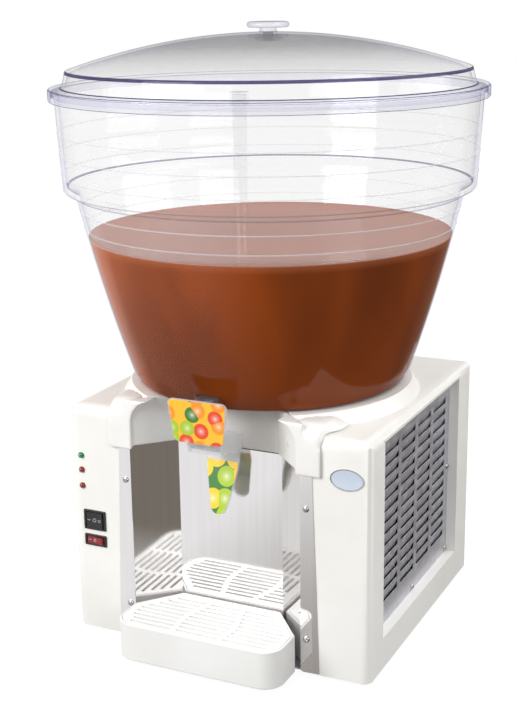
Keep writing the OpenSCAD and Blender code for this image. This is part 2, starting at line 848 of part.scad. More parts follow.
module switch_case(z, h) translate([-switch_x, 0, z]) difference() {
    well = h / 2 - bezel_rim;
    union() {
        along_y(front_y - bezel_t, front_y)
            rounded_rect(-bezel_w / 2, bezel_w / 2, -h / 2, h / 2, bezel_rim / 2);
        switch_body(h, 0, front_y, front_y + switch_depth);
    }
    block(-rocker_half - gap, rocker_half + gap, front_y - bezel_t - over, rocker_y, -well, well);
    translate([0, rocker_y, -well]) cylinder(r = rocker_half + gap, h = 2 * well);
}

// A rocker that turns about an upright axis, drawn level: two faces meet in a shallow hollow
module rocker(z, h, tilt) translate([-switch_x, rocker_y, z - h / 2 + bezel_rim + gap]) rotate([0, 0, tilt])
    linear_extrude(h - 2 * bezel_rim - 2 * gap) intersection() {
        circle(rocker_half);
        polygon([[-rocker_half, -rocker_out], [0, rocker_hollow - rocker_out], [rocker_half, -rocker_out],
            [rocker_half, rocker_out], [-rocker_half, rocker_out]]);
    }

module upper_switch_case() color("black") switch_case(upper_switch_z, upper_bezel_h);

module lower_switch_case() color("black") switch_case(lower_switch_z, lower_bezel_h);

module upper_rocker() color("black") rocker(upper_switch_z, upper_bezel_h, 0);

module lower_rocker() color("crimson") rocker(lower_switch_z, lower_bezel_h, -rocker_tilt);

// Cooling drum, pump and spray tube

module evaporator_drum() color("lightgray") rotate_extrude() polygon(concat(
    [[drum_r - drum_t, drum_bottom], [drum_r + drum_flange, drum_bottom],
     [drum_r + drum_flange, drum_bottom + drum_t], [drum_r, drum_bottom + drum_t]],
    arc([drum_r - drum_edge_r, drum_top - drum_edge_r], drum_edge_r, 0, 90),
    [[0, drum_top], [0, drum_top - drum_t]],
    arc([drum_r - drum_edge_r, drum_top - drum_edge_r], drum_edge_r - drum_t, 90, 0)));

// The plate that closes the drum from below, with the stand of the pump's motor on it
module drum_plate() color("gainsboro") {
    ring(motor_r - stand_t, drum_r + drum_flange, drum_bottom - plate_t, drum_bottom);
    ring(motor_r - stand_t, motor_r, drum_bottom - plate_t, motor_top - motor_h);
}

module pump_motor() color("dimgray") {
    translate([0, 0, motor_top - motor_h]) cylinder(r = motor_r, h = motor_h);
    translate([0, 0, motor_top]) cylinder(r = shaft_r, h = magnet_h / 2);
}

module drive_magnet() color("black") difference() {
    translate([0, 0, motor_top + gap]) cylinder(r = rotor_r, h = magnet_h - gap);
    translate([0, 0, motor_top]) cylinder(r = shaft_r + run, h = magnet_h / 2 + gap);
}

module rotor_pin() color("silver") translate([0, 0, drum_top]) cylinder(r = rotor_pin_r, h = gap + rotor_h);

module pump_rotor() color("white") translate([0, 0, drum_top + gap]) difference() {
    vane_h = rotor_h - gap;
    union() {
        cylinder(r = rotor_r / 2, h = vane_h);
        cylinder(r = rotor_r, h = vane_h / 3);
        for (a = [30:60:330]) rotate(a) translate([rotor_pin_r + over, -over, over])
            cube([rotor_r - rotor_pin_r - 3 * over, 2 * over, vane_h - 2 * over]);
    }
    translate([0, 0, -over]) cylinder(r = rotor_pin_r + run, h = rotor_h + 2 * over);
}

module at_tube(z) {
    translate([-tube_x, -tube_y, z]) children();
}

// The pump's cover, with the outlet that carries the spray tube beside the rotor
module pump_cover() color("white") difference() {
    union() {
        translate([0, 0, drum_top]) cylinder(r = cover_r, h = cover_top - drum_top);
        at_tube(drum_top) cylinder(r = tube_r + cover_t, h = tube_z0 + socket_h - drum_top);
    }
    translate([0, 0, drum_top - over]) cylinder(r = chamber_r, h = cover_top - cover_t - drum_top + over);
    at_tube(drum_top + cover_t) cylinder(r = tube_r - tube_t, h = tube_z0);
    at_tube(tube_z0) cylinder(r = tube_r + fit, h = tube_z0);
    for (a = [0:30:150]) rotate(a) translate([chamber_r - over, -cover_t / 2, drum_top - over])
        cube([2 * cover_t, cover_t, cover_t]);
}

module spray_tube() color("aliceblue") at_tube(0) ring(tube_r - tube_t, tube_r, tube_z0, tube_z1);

// A perforated cap that throws the drink out in a fountain
module spray_cap() color("aliceblue") at_tube(tube_z1 - cap_h + lid_t) difference() {
    cylinder(r = tube_r + lid_t, h = cap_h);
    translate([0, 0, -over]) cylinder(r = tube_r + fit, h = cap_h - lid_t + over);
    for (a = [0:60:300]) rotate(a) translate([tube_r / 2, 0, 0]) cylinder(r = over, h = 2 * cap_h, $fn = 16);
}

// Refrigeration in the base

module compressor() color("black") translate([-comp_x, comp_y, pan_top + mount_h]) {
    rotate_extrude() polygon(concat([[0, comp_foot_t], [comp_r * 0.7, comp_foot_t], [comp_r, comp_h / 5]],
        [for (i = [0:7]) let (a = 90 * i / 7) [comp_r * cos(a), comp_h * (0.7 + 0.3 * sin(a))]]));
    block(-comp_r, comp_r, -comp_r * 0.6, comp_r * 0.6, 0, comp_foot_t);
    block(comp_r * 0.2, comp_r * 0.8, -comp_r * 1.4, -comp_r * 0.5, comp_h * 0.3, comp_h * 0.65);
}

module compressor_mounts() color("dimgray")
    for (x = [-1, 1], y = [-1, 1]) translate([-comp_x + x * comp_r * 0.8, comp_y + y * comp_r * 0.4, pan_top])
        cylinder(r = mount_h + 2, h = mount_h);

cond_y0 = fan_y - cond_l / 2;
cond_top = pan_top + cond_h;

// Fins on cross tubes between two end plates that stand on the pan
module condenser() color("peru") {
    for (i = [0:cond_fins]) block(cond_x, cond_x + cond_t,
        cond_y0 + (cond_l - fin_t) * i / cond_fins, cond_y0 + (cond_l - fin_t) * i / cond_fins + fin_t,
        i == 0 || i == cond_fins ? pan_top : pan_top + pan_lip, cond_top);
    for (z = [pan_top + cond_pitch:cond_pitch:cond_top - cond_pitch / 2], x = [0.28, 0.72])
        translate([cond_x + cond_t * x, cond_y0, z]) rotate([-90, 0, 0])
            cylinder(r = cond_tube_r, h = cond_l);
}

// Turns what is drawn round the z axis to lie round the fan's axis, from the fan's middle towards +x
module on_fan_axis() {
    translate([fan_x, fan_y, fan_z]) rotate([0, 90, 0]) children();
}

module fan_shroud() color("dimgray") difference() {
    union() {
        block(shroud_x, shroud_x + shroud_t, cond_y0, cond_y0 + cond_l, pan_top, cond_top);
        on_fan_axis() translate([0, 0, -fan_h / 2])
            cylinder(r = fan_r + fan_gap + shroud_t, h = shroud_x - fan_x + fan_h / 2 + shroud_t);
    }
    on_fan_axis() cylinder(r = fan_r + fan_gap, h = 4 * fan_h, center = true);
}

module fan_blade() color("gray") on_fan_axis() difference() {
    union() {
        cylinder(r = fan_hub_r, h = fan_h, center = true);
        for (i = [0:fan_blades - 1]) rotate(360 * i / fan_blades) intersection() {
            cylinder(r = fan_r, h = fan_h, center = true);
            translate([fan_hub_r - shaft_r, 0, 0]) rotate([fan_pitch, 0, 0])
                translate([0, -fan_r / 3, -shroud_t / 2]) cube([fan_r, fan_r * 2 / 3, shroud_t]);
        }
    }
    cylinder(r = shaft_r + run, h = 2 * fan_h, center = true);
}

motor_x = -fan_h / 2 - gap - fan_motor_l;

module fan_motor() color("silver") on_fan_axis() {
    translate([0, 0, motor_x]) cylinder(r = fan_motor_r, h = fan_motor_l);
    translate([0, 0, motor_x]) cylinder(r = shaft_r, h = fan_motor_l + gap + fan_h);
}

// A post from the pan with a cradle under the fan's motor
module fan_bracket() color("darkgray") difference() {
    half = fan_motor_r * 0.6;
    x0 = fan_x + motor_x + shaft_r;
    x1 = x0 + fan_motor_l - 2 * shaft_r;
    block(x0, x1, fan_y - half, fan_y + half, pan_top, fan_z - half);
    on_fan_axis() translate([0, 0, 2 * motor_x]) cylinder(r = fan_motor_r + fit, h = -2 * motor_x);
    block(x0 + shroud_t, x1 + over, fan_y - half + shroud_t, fan_y + half - shroud_t, pan_top + shroud_t,
        fan_z - fan_motor_r - 2 * shroud_t);
}

// Copper drier, upright against the condenser's rear end
module filter_drier() color("peru") {
    half = drier_l / 2;
    translate([cond_x + cond_t / 2, cond_y0 + cond_l + drier_r + fit, pan_top + cond_h / 2]) rotate_extrude()
        polygon([
            [0, -half], [cond_tube_r, -half], [cond_tube_r, drier_r - half], [drier_r, 2 * drier_r - half],
            [drier_r, half - 2 * drier_r], [cond_tube_r, half - drier_r], [cond_tube_r, half], [0, half]]);
}

module thermostat() color("gainsboro") translate([-half_w + foot_inset, back_y + foot_inset, pan_top]) {
    cube([thermostat_w, thermostat_w, thermostat_w]);
    translate([thermostat_w / 2, thermostat_w / 2, 0]) cylinder(r = thermostat_w / 4, h = thermostat_w * 1.3);
}

// Bowl

// Round inner corner between the bowl's floor and its wall, moved in by d
function floor_corner(d) = let (r = bowl_edge_r, z = floor_z + r)
    arc([wall_at(z) - bowl_t - d - r, z + d], r, -90, -10);

module bowl_outline() polygon(concat(
    arc([bowl_foot_r - bowl_edge_r, seat_h + bowl_edge_r], bowl_edge_r, -90, -15),
    lower_wall(seat_h + 2 * bowl_edge_r, ledge_z, 0),
    [[band_r, ledge_z + ledge_h], [rim_r, rim_z - 2 * rim_out], [rim_r + rim_out, rim_z - 1.5 * rim_out],
     [rim_r + rim_out, rim_z], [rim_r - bowl_t, rim_z], [band_r - bowl_t, ledge_z + ledge_h + bowl_t]],
    reverse(lower_wall(floor_z + bowl_edge_r, ledge_z + bowl_t, bowl_t)),
    reverse(floor_corner(0)),
    [[gasket_r, floor_z], [gasket_r, seat_h]]));

function reverse(v) = [for (i = [len(v) - 1:-1:0]) v[i]];

module bowl() color("lavender", 0.5) difference() {
    rotate_extrude() bowl_outline();
    translate([0, tap_y, 0]) cylinder(r = tap_r, h = tap_z1);
}

module bowl_gasket() color("dimgray") ring(drum_r + gap, gasket_r, seat_h, floor_z + gasket_up);

// The drink, clear of the bowl and of the drum, pump cover and tube inside it
module drink() color("saddlebrown") difference() {
    rotate_extrude() polygon(concat(
        [[gasket_r + gap, floor_z + gap]],
        floor_corner(gap),
        lower_wall(floor_z + gap + bowl_edge_r, drink_z, bowl_t + gap),
        [[0, drink_z], [0, drum_top], [gasket_r + gap, drum_top]]));
    cylinder(r = gasket_r + gap, h = drum_top + gap);
    cylinder(r = cover_r + gap, h = cover_top + gap);
    at_tube(0) cylinder(r = tube_r + cover_t + gap, h = drink_z + over);
    translate([0, tap_y, 0]) cylinder(r = tap_r + gap, h = tap_z1 + gap);
}

// Tap

// A rod of radius r along the lever's pin, reaching out to half on each side
module along_pin(r, half) {
    translate([-half, pivot_y, pivot_z]) rotate([0, 90, 0]) cylinder(r = r, h = 2 * half);
}

// Clear barrel with the valve's seat, the outlet under it, the inlet towards the bowl and the pin's lug
module tap_body() color("lavender", 0.6) difference() {
    union() {
        translate([0, tap_y, tap_z0]) cylinder(r = tap_r, h = tap_z1 - tap_z0);
        translate([0, tap_y, tap_z0 - spout_h]) cylinder(r = outlet_r + spout_t, h = spout_h + over);
        along_pin(lug_r, lug_half);
        block(-lug_half, lug_half, pivot_y, tap_y - tap_bore_r + over, pivot_z - lug_r, pivot_z + lug_r);
    }
    translate([0, tap_y, valve_z]) cylinder(r = tap_bore_r, h = tap_z1 - tap_end_t - valve_z);
    translate([0, tap_y, tap_z0 - spout_h - over]) cylinder(r = outlet_r, h = spout_h + 2 * over + tap_end_t);
    translate([0, tap_y, floor_z])
        block(-outlet_r, outlet_r, 0, 2 * tap_r, 0, tap_z1 - tap_end_t - floor_z);
    along_pin(pin_r, cheek_out);
}

module lever_pin() color("silver") along_pin(pin_r, cheek_out + pin_r);

// The tongue's upper end, back from and above the lever's pin
tongue_dir = [sin(tongue_lean), cos(tongue_lean)];
tongue_end = [tongue_back, -tongue_drop] + tongue_l * tongue_dir;
bar_top = stem_z0 - gap - pivot_z;
bar_y0 = pivot_ahead - bar_w / 2;
shield_back = -lug_r - gap;

// Outline of the tongue in its own plane, its tip at the origin
module tongue_outline() hull() {
    r = shield_r;
    translate([0, tongue_tip_w / 2]) circle(tongue_tip_w / 2, $fn = 32);
    for (x = [r - tongue_w / 2, tongue_w / 2 - r], z = [tongue_waist, tongue_l - r])
        translate([x, z]) circle(r, $fn = 32);
}

module shield_outline() hull() {
    for (x = [-1, 1]) {
        translate([x * (shield_low_w / 2 - shield_r), shield_r]) circle(shield_r, $fn = 32);
        translate([x * (shield_top_w / 2 - shield_r), shield_h - shield_r]) circle(shield_r, $fn = 32);
    }
}

// Side view of a cheek: from the shield over the pin, back to the tongue and under the plunger's bar
module cheek_outline() polygon([
    [shield_back - lever_t / 2, -shield_drop], [shield_back - lever_t / 2, cheek_up], [2 * lug_r, cheek_up],
    tongue_end + [0, cheek_up], tongue_end - cheek_up * tongue_dir, tongue_end - [bar_w, cheek_up],
    [bar_y0 + bar_w, bar_top - bar_t], [bar_y0, bar_top - bar_t], [lug_r / 2, -lug_r * 1.4]]);

// Shield in front, a cheek on each side of the barrel, a lifting bar under the plunger and the tongue
module tap_lever() color("gold") difference() {
    translate([0, pivot_y, pivot_z]) {
        translate([0, shield_back, -shield_drop]) rotate([90 + shield_lean, 0, 0])
            linear_extrude(lever_t) shield_outline();
        both_sides() along_x(cheek_in, cheek_out) cheek_outline();
        block(-cheek_out, cheek_out, bar_y0, bar_y0 + bar_w, bar_top - bar_t, bar_top);
        translate([0, tongue_back, -tongue_drop]) rotate([90 - tongue_lean, 0, 0])
            linear_extrude(lever_t) tongue_outline();
    }
    along_pin(pin_r + run, cheek_out + over);
}

seal_z = valve_z + gap;
disc_z = seal_z + seal_h;

spring_z0 = disc_z + disc_t + gap;
spring_z1 = tap_z1 - tap_end_t - gap;
spring_r = (tap_bore_r + stem_r) / 2;

// The stem that the lever lifts, with the disc that shuts the outlet and a guide in the spring
module valve_plunger() color("white") translate([0, tap_y, 0]) {
    translate([0, 0, stem_z0 + stem_r]) {
        sphere(stem_r);
        cylinder(r = stem_r, h = disc_z - stem_z0 - stem_r + over);
    }
    translate([0, 0, disc_z]) {
        cylinder(r = tap_bore_r - 2 * over, h = disc_t);
        cylinder(r = stem_r, h = (spring_z1 - disc_z) / 2);
    }
}

module plunger_seal() color("orangered")
    translate([0, tap_y, 0]) ring(stem_r, tap_bore_r - 2 * over, seal_z, disc_z);

// The spring is a tube of six sides on a helix, with eight rings to a turn
ring_sides = 6;
turn_rings = 8;
spring_rings = turn_rings * spring_turns;
spring_rise = (spring_z1 - spring_z0 - spring_wire) / spring_turns;

function spring_out(i) = [cos(360 * i / turn_rings), sin(360 * i / turn_rings), 0];
function spring_middle(i) =
    spring_r * spring_out(i) + [0, 0, spring_z0 + spring_wire / 2 + spring_rise * i / turn_rings];
function wire_ring(i) = [for (k = [0:ring_sides - 1]) let (a = 360 * k / ring_sides)
    spring_middle(i) + spring_wire / 2 * (cos(a) * spring_out(i) + sin(a) * [0, 0, 1])];

module plunger_spring() color("silver") translate([0, tap_y, 0]) {
    sides = [for (i = [0:spring_rings - 1], k = [0:ring_sides - 1]) each
        let (a = ring_sides * i + k, b = ring_sides * i + (k + 1) % ring_sides)
        [[a, b, b + ring_sides], [a, b + ring_sides, a + ring_sides]]];
    last = ring_sides * spring_rings;
    ends = [for (k = [1:ring_sides - 2]) each [[0, k + 1, k], [last, last + k, last + k + 1]]];
    polyhedron([for (i = [0:spring_rings]) each wire_ring(i)], concat(sides, ends));
    spring_gap = min([for (i = [0:spring_rings - turn_rings], j = [i + turn_rings / 2:spring_rings])
        norm(spring_middle(i) - spring_middle(j))]) - spring_wire;
    echo(spring_gap = spring_gap);
}

// Lid

module lid() color("lavender", 0.5) difference() {
    dome_steps = 8;
    rotate_extrude() polygon(concat(
        [[lid_r, lid_z - lid_band], [lid_r, lid_z], [lid_shoulder_r, lid_z]],
        [for (i = [0:dome_steps]) let (r = dome_r * (1 - i / dome_steps)) [r, dome(r)]],
        [for (i = [dome_steps:-1:0]) let (r = (dome_r - lid_t) * (1 - i / dome_steps)) [r, dome(r) - lid_t]],
        [[lid_shoulder_r - lid_t, lid_z - lid_t], [lid_r - lid_t, lid_z - lid_t],
         [lid_r - lid_t, lid_z - lid_band]]));
    translate([0, 0, lid_top - lid_rise]) cylinder(r = knob_stem_r + fit, h = 2 * lid_rise);
}

module lid_knob() color("lavender", 0.6) translate([0, 0, lid_top]) rotate_extrude() polygon(concat(
    [[0, -lid_t - gap - nut_h], [knob_stem_r, -lid_t - gap - nut_h], [knob_stem_r, 0], [knob_stem_r * 2, 0],
     [knob_stem_r * 1.6, knob_gap], [knob_r - knob_h / 2, knob_gap]],
    arc([knob_r - knob_h / 2, knob_gap + knob_h / 2], knob_h / 2, -75, 90), [[0, knob_gap + knob_h]]));

module knob_nut() color("lavender", 0.6)
    ring(knob_stem_r + fit, nut_r, lid_top - lid_t - gap - nut_h, lid_top - lid_t - gap);

// Drip tray

// The tray in plan, moved in by d: a block with round front corners, cut to the recess's flare
module tray_plan(d) {
    back = tray_back_y - d;
    front = tray_front_y + d;
    x = tray_half - d;
    side = tray_back_y - (x - tray_half_at(tray_back_y, d)) / tray_flare;
    r = tray_corner_r - d;
    polygon(concat(
        [[-tray_half_at(back, d), back], [-x, side]], arc([-x + r, front + r], r, 180, 270, 8),
        arc([x - r, front + r], r, 270, 360, 8), [[x, side], [tray_half_at(back, d), back]]));
}

module drip_tray() color("white") difference() {
    translate([0, 0, tray_z0]) linear_extrude(tray_top - tray_z0) tray_plan(0);
    translate([0, 0, tray_z0 + tray_t]) linear_extrude(tray_top) tray_plan(2 * tray_t);
    translate([0, 0, tray_top - grille_t - gap]) linear_extrude(tray_top) tray_plan(tray_t);
}

// Half the length of a row of slots; the rows beside the round front corners are shorter
function slot_half(y) = tray_half_at(y, slot_border)
    - (y < tray_front_y + tray_corner_r / 2 + slot_border ? slot_border / 2 : 0);

module tray_grille() color("white") difference() {
    translate([0, 0, tray_top - grille_t]) linear_extrude(grille_t) tray_plan(tray_t + gap);
    for (y = [tray_front_y + slot_border:slot_pitch:tray_back_y - slot_border], i = [-1, 0, 1]) {
        l = 2 * (slot_half(y) - slot_bridge) / 3;
        x = i * (l + slot_bridge);
        block(x - l / 2, x + l / 2, y - slot_w / 2, y + slot_w / 2, tray_top - 2 * grille_t, tray_top + over);
    }
}

base_pan();
rubber_feet();
housing();
tap_hood();
recess_liner();
liner_screws();
left_louvre_panel();
right_louvre_panel();
side_panel_screws();
rear_panel();
rear_panel_screws();
cord_gland();
lamp_green();
lamp_red_upper();
lamp_red_lower();
upper_switch_case();
lower_switch_case();
upper_rocker();
lower_rocker();
evaporator_drum();
drum_plate();
pump_motor();
drive_magnet();
rotor_pin();
pump_rotor();
pump_cover();
spray_tube();
spray_cap();
compressor();
compressor_mounts();
condenser();
fan_shroud();
fan_blade();
fan_motor();
fan_bracket();
filter_drier();
thermostat();
bowl();
bowl_gasket();
drink();
tap_body();
lever_pin();
tap_lever();
valve_plunger();
plunger_seal();
plunger_spring();
lid();
lid_knob();
knob_nut();
drip_tray();
tray_grille();
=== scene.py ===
# %% [markdown]
# A cold drink dispenser
#
# A clear bowl of chocolate drink stands on a white refrigerated base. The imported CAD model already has
# every piece in its place and on its joint, so this lesson dresses it: a camera, soft studio light,
# finishes for each material, and finer meshes where a lathe or a bevel shows more than the solids do.

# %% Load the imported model
import math

import bmesh
import bpy
from mathutils import Matrix, Vector


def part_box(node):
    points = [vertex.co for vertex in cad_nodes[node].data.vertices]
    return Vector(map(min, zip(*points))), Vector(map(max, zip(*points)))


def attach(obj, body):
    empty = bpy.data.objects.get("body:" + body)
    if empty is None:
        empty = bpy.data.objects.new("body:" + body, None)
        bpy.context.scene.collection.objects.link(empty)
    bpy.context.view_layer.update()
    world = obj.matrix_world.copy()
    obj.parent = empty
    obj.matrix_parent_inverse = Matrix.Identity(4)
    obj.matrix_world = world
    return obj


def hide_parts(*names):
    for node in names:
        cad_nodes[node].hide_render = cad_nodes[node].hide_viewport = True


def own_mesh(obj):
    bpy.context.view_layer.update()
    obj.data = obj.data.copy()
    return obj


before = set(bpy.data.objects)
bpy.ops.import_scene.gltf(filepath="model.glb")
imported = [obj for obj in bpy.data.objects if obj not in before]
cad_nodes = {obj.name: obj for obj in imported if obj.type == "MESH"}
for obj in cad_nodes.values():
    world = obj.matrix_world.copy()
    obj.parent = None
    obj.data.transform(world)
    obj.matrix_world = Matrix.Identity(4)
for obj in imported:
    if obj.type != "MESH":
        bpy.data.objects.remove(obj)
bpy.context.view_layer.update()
MM = 0.001

# %% [markdown]
# The camera
#
# It stands a little above the lid, to the right of the tap, and looks down at the base. The two angles,
# the small roll and the focal length were found by lining up the rim, the ledge and the base's corners.
# A matrix from three directions places it exactly, with no target object or constraint.

# %% Camera
EYE = Vector((0.7021, -1.4958, 0.7997))
AZIMUTH = math.radians(25.75)
PITCH = math.radians(15.4)
ROLL = math.radians(-0.8)
FOCAL_PIXELS = 1346
PICTURE_HEIGHT = 709
SENSOR = 36

ahead = Vector((-math.sin(AZIMUTH) * math.cos(PITCH), math.cos(AZIMUTH) * math.cos(PITCH), -math.sin(PITCH)))
level = Vector((math.cos(AZIMUTH), math.sin(AZIMUTH), 0))
above = level.cross(ahead)
right = math.cos(ROLL) * level + math.sin(ROLL) * above
up = math.cos(ROLL) * above - math.sin(ROLL) * level

lens = bpy.data.cameras.new("camera")
lens.sensor_width = SENSOR
lens.lens = FOCAL_PIXELS / PICTURE_HEIGHT * SENSOR
camera = bpy.data.objects.new("camera", lens)
camera.matrix_world = Matrix((right, up, -ahead)).transposed().to_4x4()
camera.location = EYE
bpy.context.collection.objects.link(camera)
bpy.context.scene.camera = camera
print("lens:", round(lens.lens, 1), "mm")

# %% [markdown]
# Pieces from bmesh
#
# Each new piece is a bmesh that becomes one object at the origin, with its place in its mesh. The helper
# also shades it: faces are smooth, and edges sharper than a limit stay crisp. A lathe turns an outline of
# radius and height once round an upright axis, which suits a bowl, a lid or a knob.

# %% Helpers for pieces
SHARP = math.radians(38)
MERGE = 0.00001


def shade(shape, limit=SHARP):
    """Smooth faces that keep the edges sharper than the limit."""
    for face in shape.faces:
        face.smooth = True
    for edge in shape.edges:
        edge.smooth = edge.calc_face_angle(0) < limit


def make_piece(name, shape, finish, body, stands_for=(), limit=SHARP):
    """One object from a bmesh: shaded, finished, riding on a body and standing for CAD nodes."""
    shade(shape, limit)
    mesh = bpy.data.meshes.new(name)
    shape.to_mesh(mesh)
    shape.free()
    mesh.materials.append(finish)
    obj = bpy.data.objects.new(name, mesh)
    bpy.context.collection.objects.link(obj)
    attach(obj, body)
    if stands_for:
        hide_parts(*stands_for)
    print(name, "has", len(mesh.polygons), "faces")
    return obj


def turned(outline, steps=128, closed=True, centre=(0, 0)):
    """A bmesh turned from an outline of (radius, height) in millimetres round an upright axis."""
    shape = bmesh.new()
    verts = [shape.verts.new((r * MM, 0, z * MM)) for r, z in outline]
    pairs = list(zip(verts, verts[1:]))
    if closed:
        pairs.append((verts[-1], verts[0]))
    edges = [shape.edges.new(pair) for pair in pairs if (pair[0].co - pair[1].co).length > 0]
    bmesh.ops.spin(shape, geom=verts + edges, cent=(0, 0, 0), axis=(0, 0, 1), angle=math.tau,
                   steps=steps, use_merge=True)
    bmesh.ops.remove_doubles(shape, verts=shape.verts, dist=MERGE)
    bmesh.ops.recalc_face_normals(shape, faces=shape.faces)
    bmesh.ops.translate(shape, vec=(centre[0] * MM, centre[1] * MM, 0), verts=shape.verts)
    return shape


def arc(centre, radius, start, end, count=6):
    """Points of (radius, height) on an arc, by angles in degrees."""
    points = []
    for i in range(count + 1):
        angle = math.radians(start + (end - start) * i / count)
        points.append((centre[0] + radius * math.cos(angle), centre[1] + radius * math.sin(angle)))
    return points


def plate(corners, radius, thickness, place, segments=8):
    """A flat plate with round corners, drawn in x and y in millimetres and moved by a matrix."""
    shape = bmesh.new()
    shape.faces.new([shape.verts.new((x * MM, y * MM, 0)) for x, y in corners])
    bmesh.ops.bevel(shape, geom=shape.verts[:], offset=radius * MM, affect="VERTICES", segments=segments,
                    profile=0.5, material=-1)
    grown = bmesh.ops.extrude_face_region(shape, geom=shape.faces[:])["geom"]
    tops = [item for item in grown if isinstance(item, bmesh.types.BMVert)]
    bmesh.ops.translate(shape, vec=(0, 0, thickness * MM), verts=tops)
    bmesh.ops.recalc_face_normals(shape, faces=shape.faces)
    bmesh.ops.transform(shape, matrix=place, verts=shape.verts)
    return shape


def tint_bands(obj, finish, *bands):
    """Gives another finish to faces inside bands of (low radius, high radius, low z, high z)."""
    obj.data.materials.append(finish)
    index = len(obj.data.materials) - 1
    for face in obj.data.polygons:
        radius = math.hypot(face.center.x, face.center.y) / MM
        height = face.center.z / MM
        if any(r0 < radius < r1 and z0 < height < z1 for r0, r1, z0, z1 in bands):
            face.material_index = index


def carve(obj, shape):
    """Cuts a bmesh out of a piece with a Boolean, and keeps the result as its mesh."""
    mesh = bpy.data.meshes.new("cutter")
    shape.to_mesh(mesh)
    shape.free()
    cutter = bpy.data.objects.new("cutter", mesh)
    bpy.context.collection.objects.link(cutter)
    cut = obj.modifiers.new("cut", "BOOLEAN")
    cut.object = cutter
    cut.operation = "DIFFERENCE"
    bpy.context.view_layer.update()
    result = bpy.data.meshes.new_from_object(obj.evaluated_get(bpy.context.evaluated_depsgraph_get()))
    obj.modifiers.clear()
    obj.data = result
    bpy.data.objects.remove(cutter)


print("helpers ready")

# %% [markdown]
# Finishes from nodes
#
# A finish is a small tree of nodes. A few helpers keep each tree short: one adds a node and sets its
# sockets, one joins two nodes, one lays a texture on Object coordinates, in metres, and one turns a
# texture into a run of colours. Colours are given as the eye reads them on a screen, and made linear.

# %% Helpers for finishes


def paint(red, green, blue):
    """A screen colour of 0 to 255 as linear RGBA."""
    linear = []
    for level_255 in (red, green, blue):
        value = level_255 / 255
        linear.append(value / 12.92 if value <= 0.04045 else ((value + 0.055) / 1.055) ** 2.4)
    return (*linear, 1)


def grey(value):
    return (value, value, value, 1)


def new_finish(name):
    finish = bpy.data.materials.new(name)
    finish.use_nodes = True
    finish.node_tree.nodes.clear()
    return finish, finish.node_tree


def add(tree, kind, **sockets):
    made = tree.nodes.new("ShaderNode" + kind)
    for socket, value in sockets.items():
        made.inputs[socket.replace("_", " ")].default_value = value
    return made


def join(tree, source, output, target, socket):
    tree.links.new(source.outputs[output], target.inputs[socket])


def texture(tree, kind, stretch=(1, 1, 1), **sockets):
    """A texture on Object coordinates, stretched along the axes."""
    place = add(tree, "TexCoord")
    turn = add(tree, "Mapping", Scale=stretch)
    made = add(tree, kind, **sockets)
    join(tree, place, "Object", turn, "Vector")
    join(tree, turn, "Vector", made, "Vector")
    return made


def colours(tree, source, output, *stops):
    """A colour ramp on a texture, from (place, colour) stops."""
    made = add(tree, "ValToRGB")
    join(tree, source, output, made, "Fac")
    while len(made.color_ramp.elements) < len(stops):
        made.color_ramp.elements.new(1)
    for element, (place, colour) in zip(made.color_ramp.elements, stops):
        element.position = place
        element.color = colour
    return made


def spread(tree, source, output, low, high):
    """Maps a texture's 0.3 to 0.7 to low to high."""
    made = add(tree, "MapRange", From_Min=0.3, From_Max=0.7, To_Min=low, To_Max=high)
    join(tree, source, output, made, "Value")
    return made


def bump(tree, source, output, shader, strength, depth):
    made = add(tree, "Bump", Strength=strength, Distance=depth)
    join(tree, source, output, made, "Height")
    join(tree, made, "Normal", shader, "Normal")


def finish_output(tree, shader, output="BSDF"):
    join(tree, shader, output, add(tree, "OutputMaterial"), "Surface")


def moulded(name, colour, shadow, rough, grain=1500, depth=0.12, **skin):
    """Moulded plastic or rubber: slow shifts of colour and gloss, and a fine pebbled skin."""
    finish, tree = new_finish(name)
    shader = add(tree, "BsdfPrincipled", **skin)
    clouds = texture(tree, "TexNoise", Scale=7, Detail=5, Roughness=0.55)
    tone = colours(tree, clouds, "Fac", (0.34, shadow), (0.62, colour))
    join(tree, tone, "Color", shader, "Base Color")
    wear = texture(tree, "TexNoise", Scale=55, Detail=6)
    join(tree, spread(tree, wear, "Fac", rough * 0.82, rough * 1.2), "Result", shader, "Roughness")
    pebbles = texture(tree, "TexNoise", Scale=grain, Detail=2)
    bump(tree, pebbles, "Fac", shader, depth, 0.0001)
    finish_output(tree, shader)
    return finish


def sheet_metal(name, colour, shadow, rough, stretch, depth=0.1, **skin):
    """Metal with a drawn grain: fine lines along one direction in colour, gloss and relief."""
    finish, tree = new_finish(name)
    shader = add(tree, "BsdfPrincipled", Metallic=1, **skin)
    lines = texture(tree, "TexNoise", stretch, Scale=1, Detail=6, Roughness=0.6)
    tone = colours(tree, lines, "Fac", (0.3, shadow), (0.7, colour))
    join(tree, tone, "Color", shader, "Base Color")
    smears = texture(tree, "TexNoise", Scale=11, Detail=5)
    join(tree, spread(tree, smears, "Fac", rough * 0.7, rough * 1.35), "Result", shader, "Roughness")
    bump(tree, lines, "Fac", shader, depth, 0.0001)
    finish_output(tree, shader)
    return finish


print("finish helpers ready")

# %% [markdown]
# Plastics
#
# The base, the hood and the tray are moulded in white plastic that has warmed a little with age. Small
# amounts of mottling, a change of gloss where hands and cloths have been, and a pebbled skin keep them
# from looking like paint.

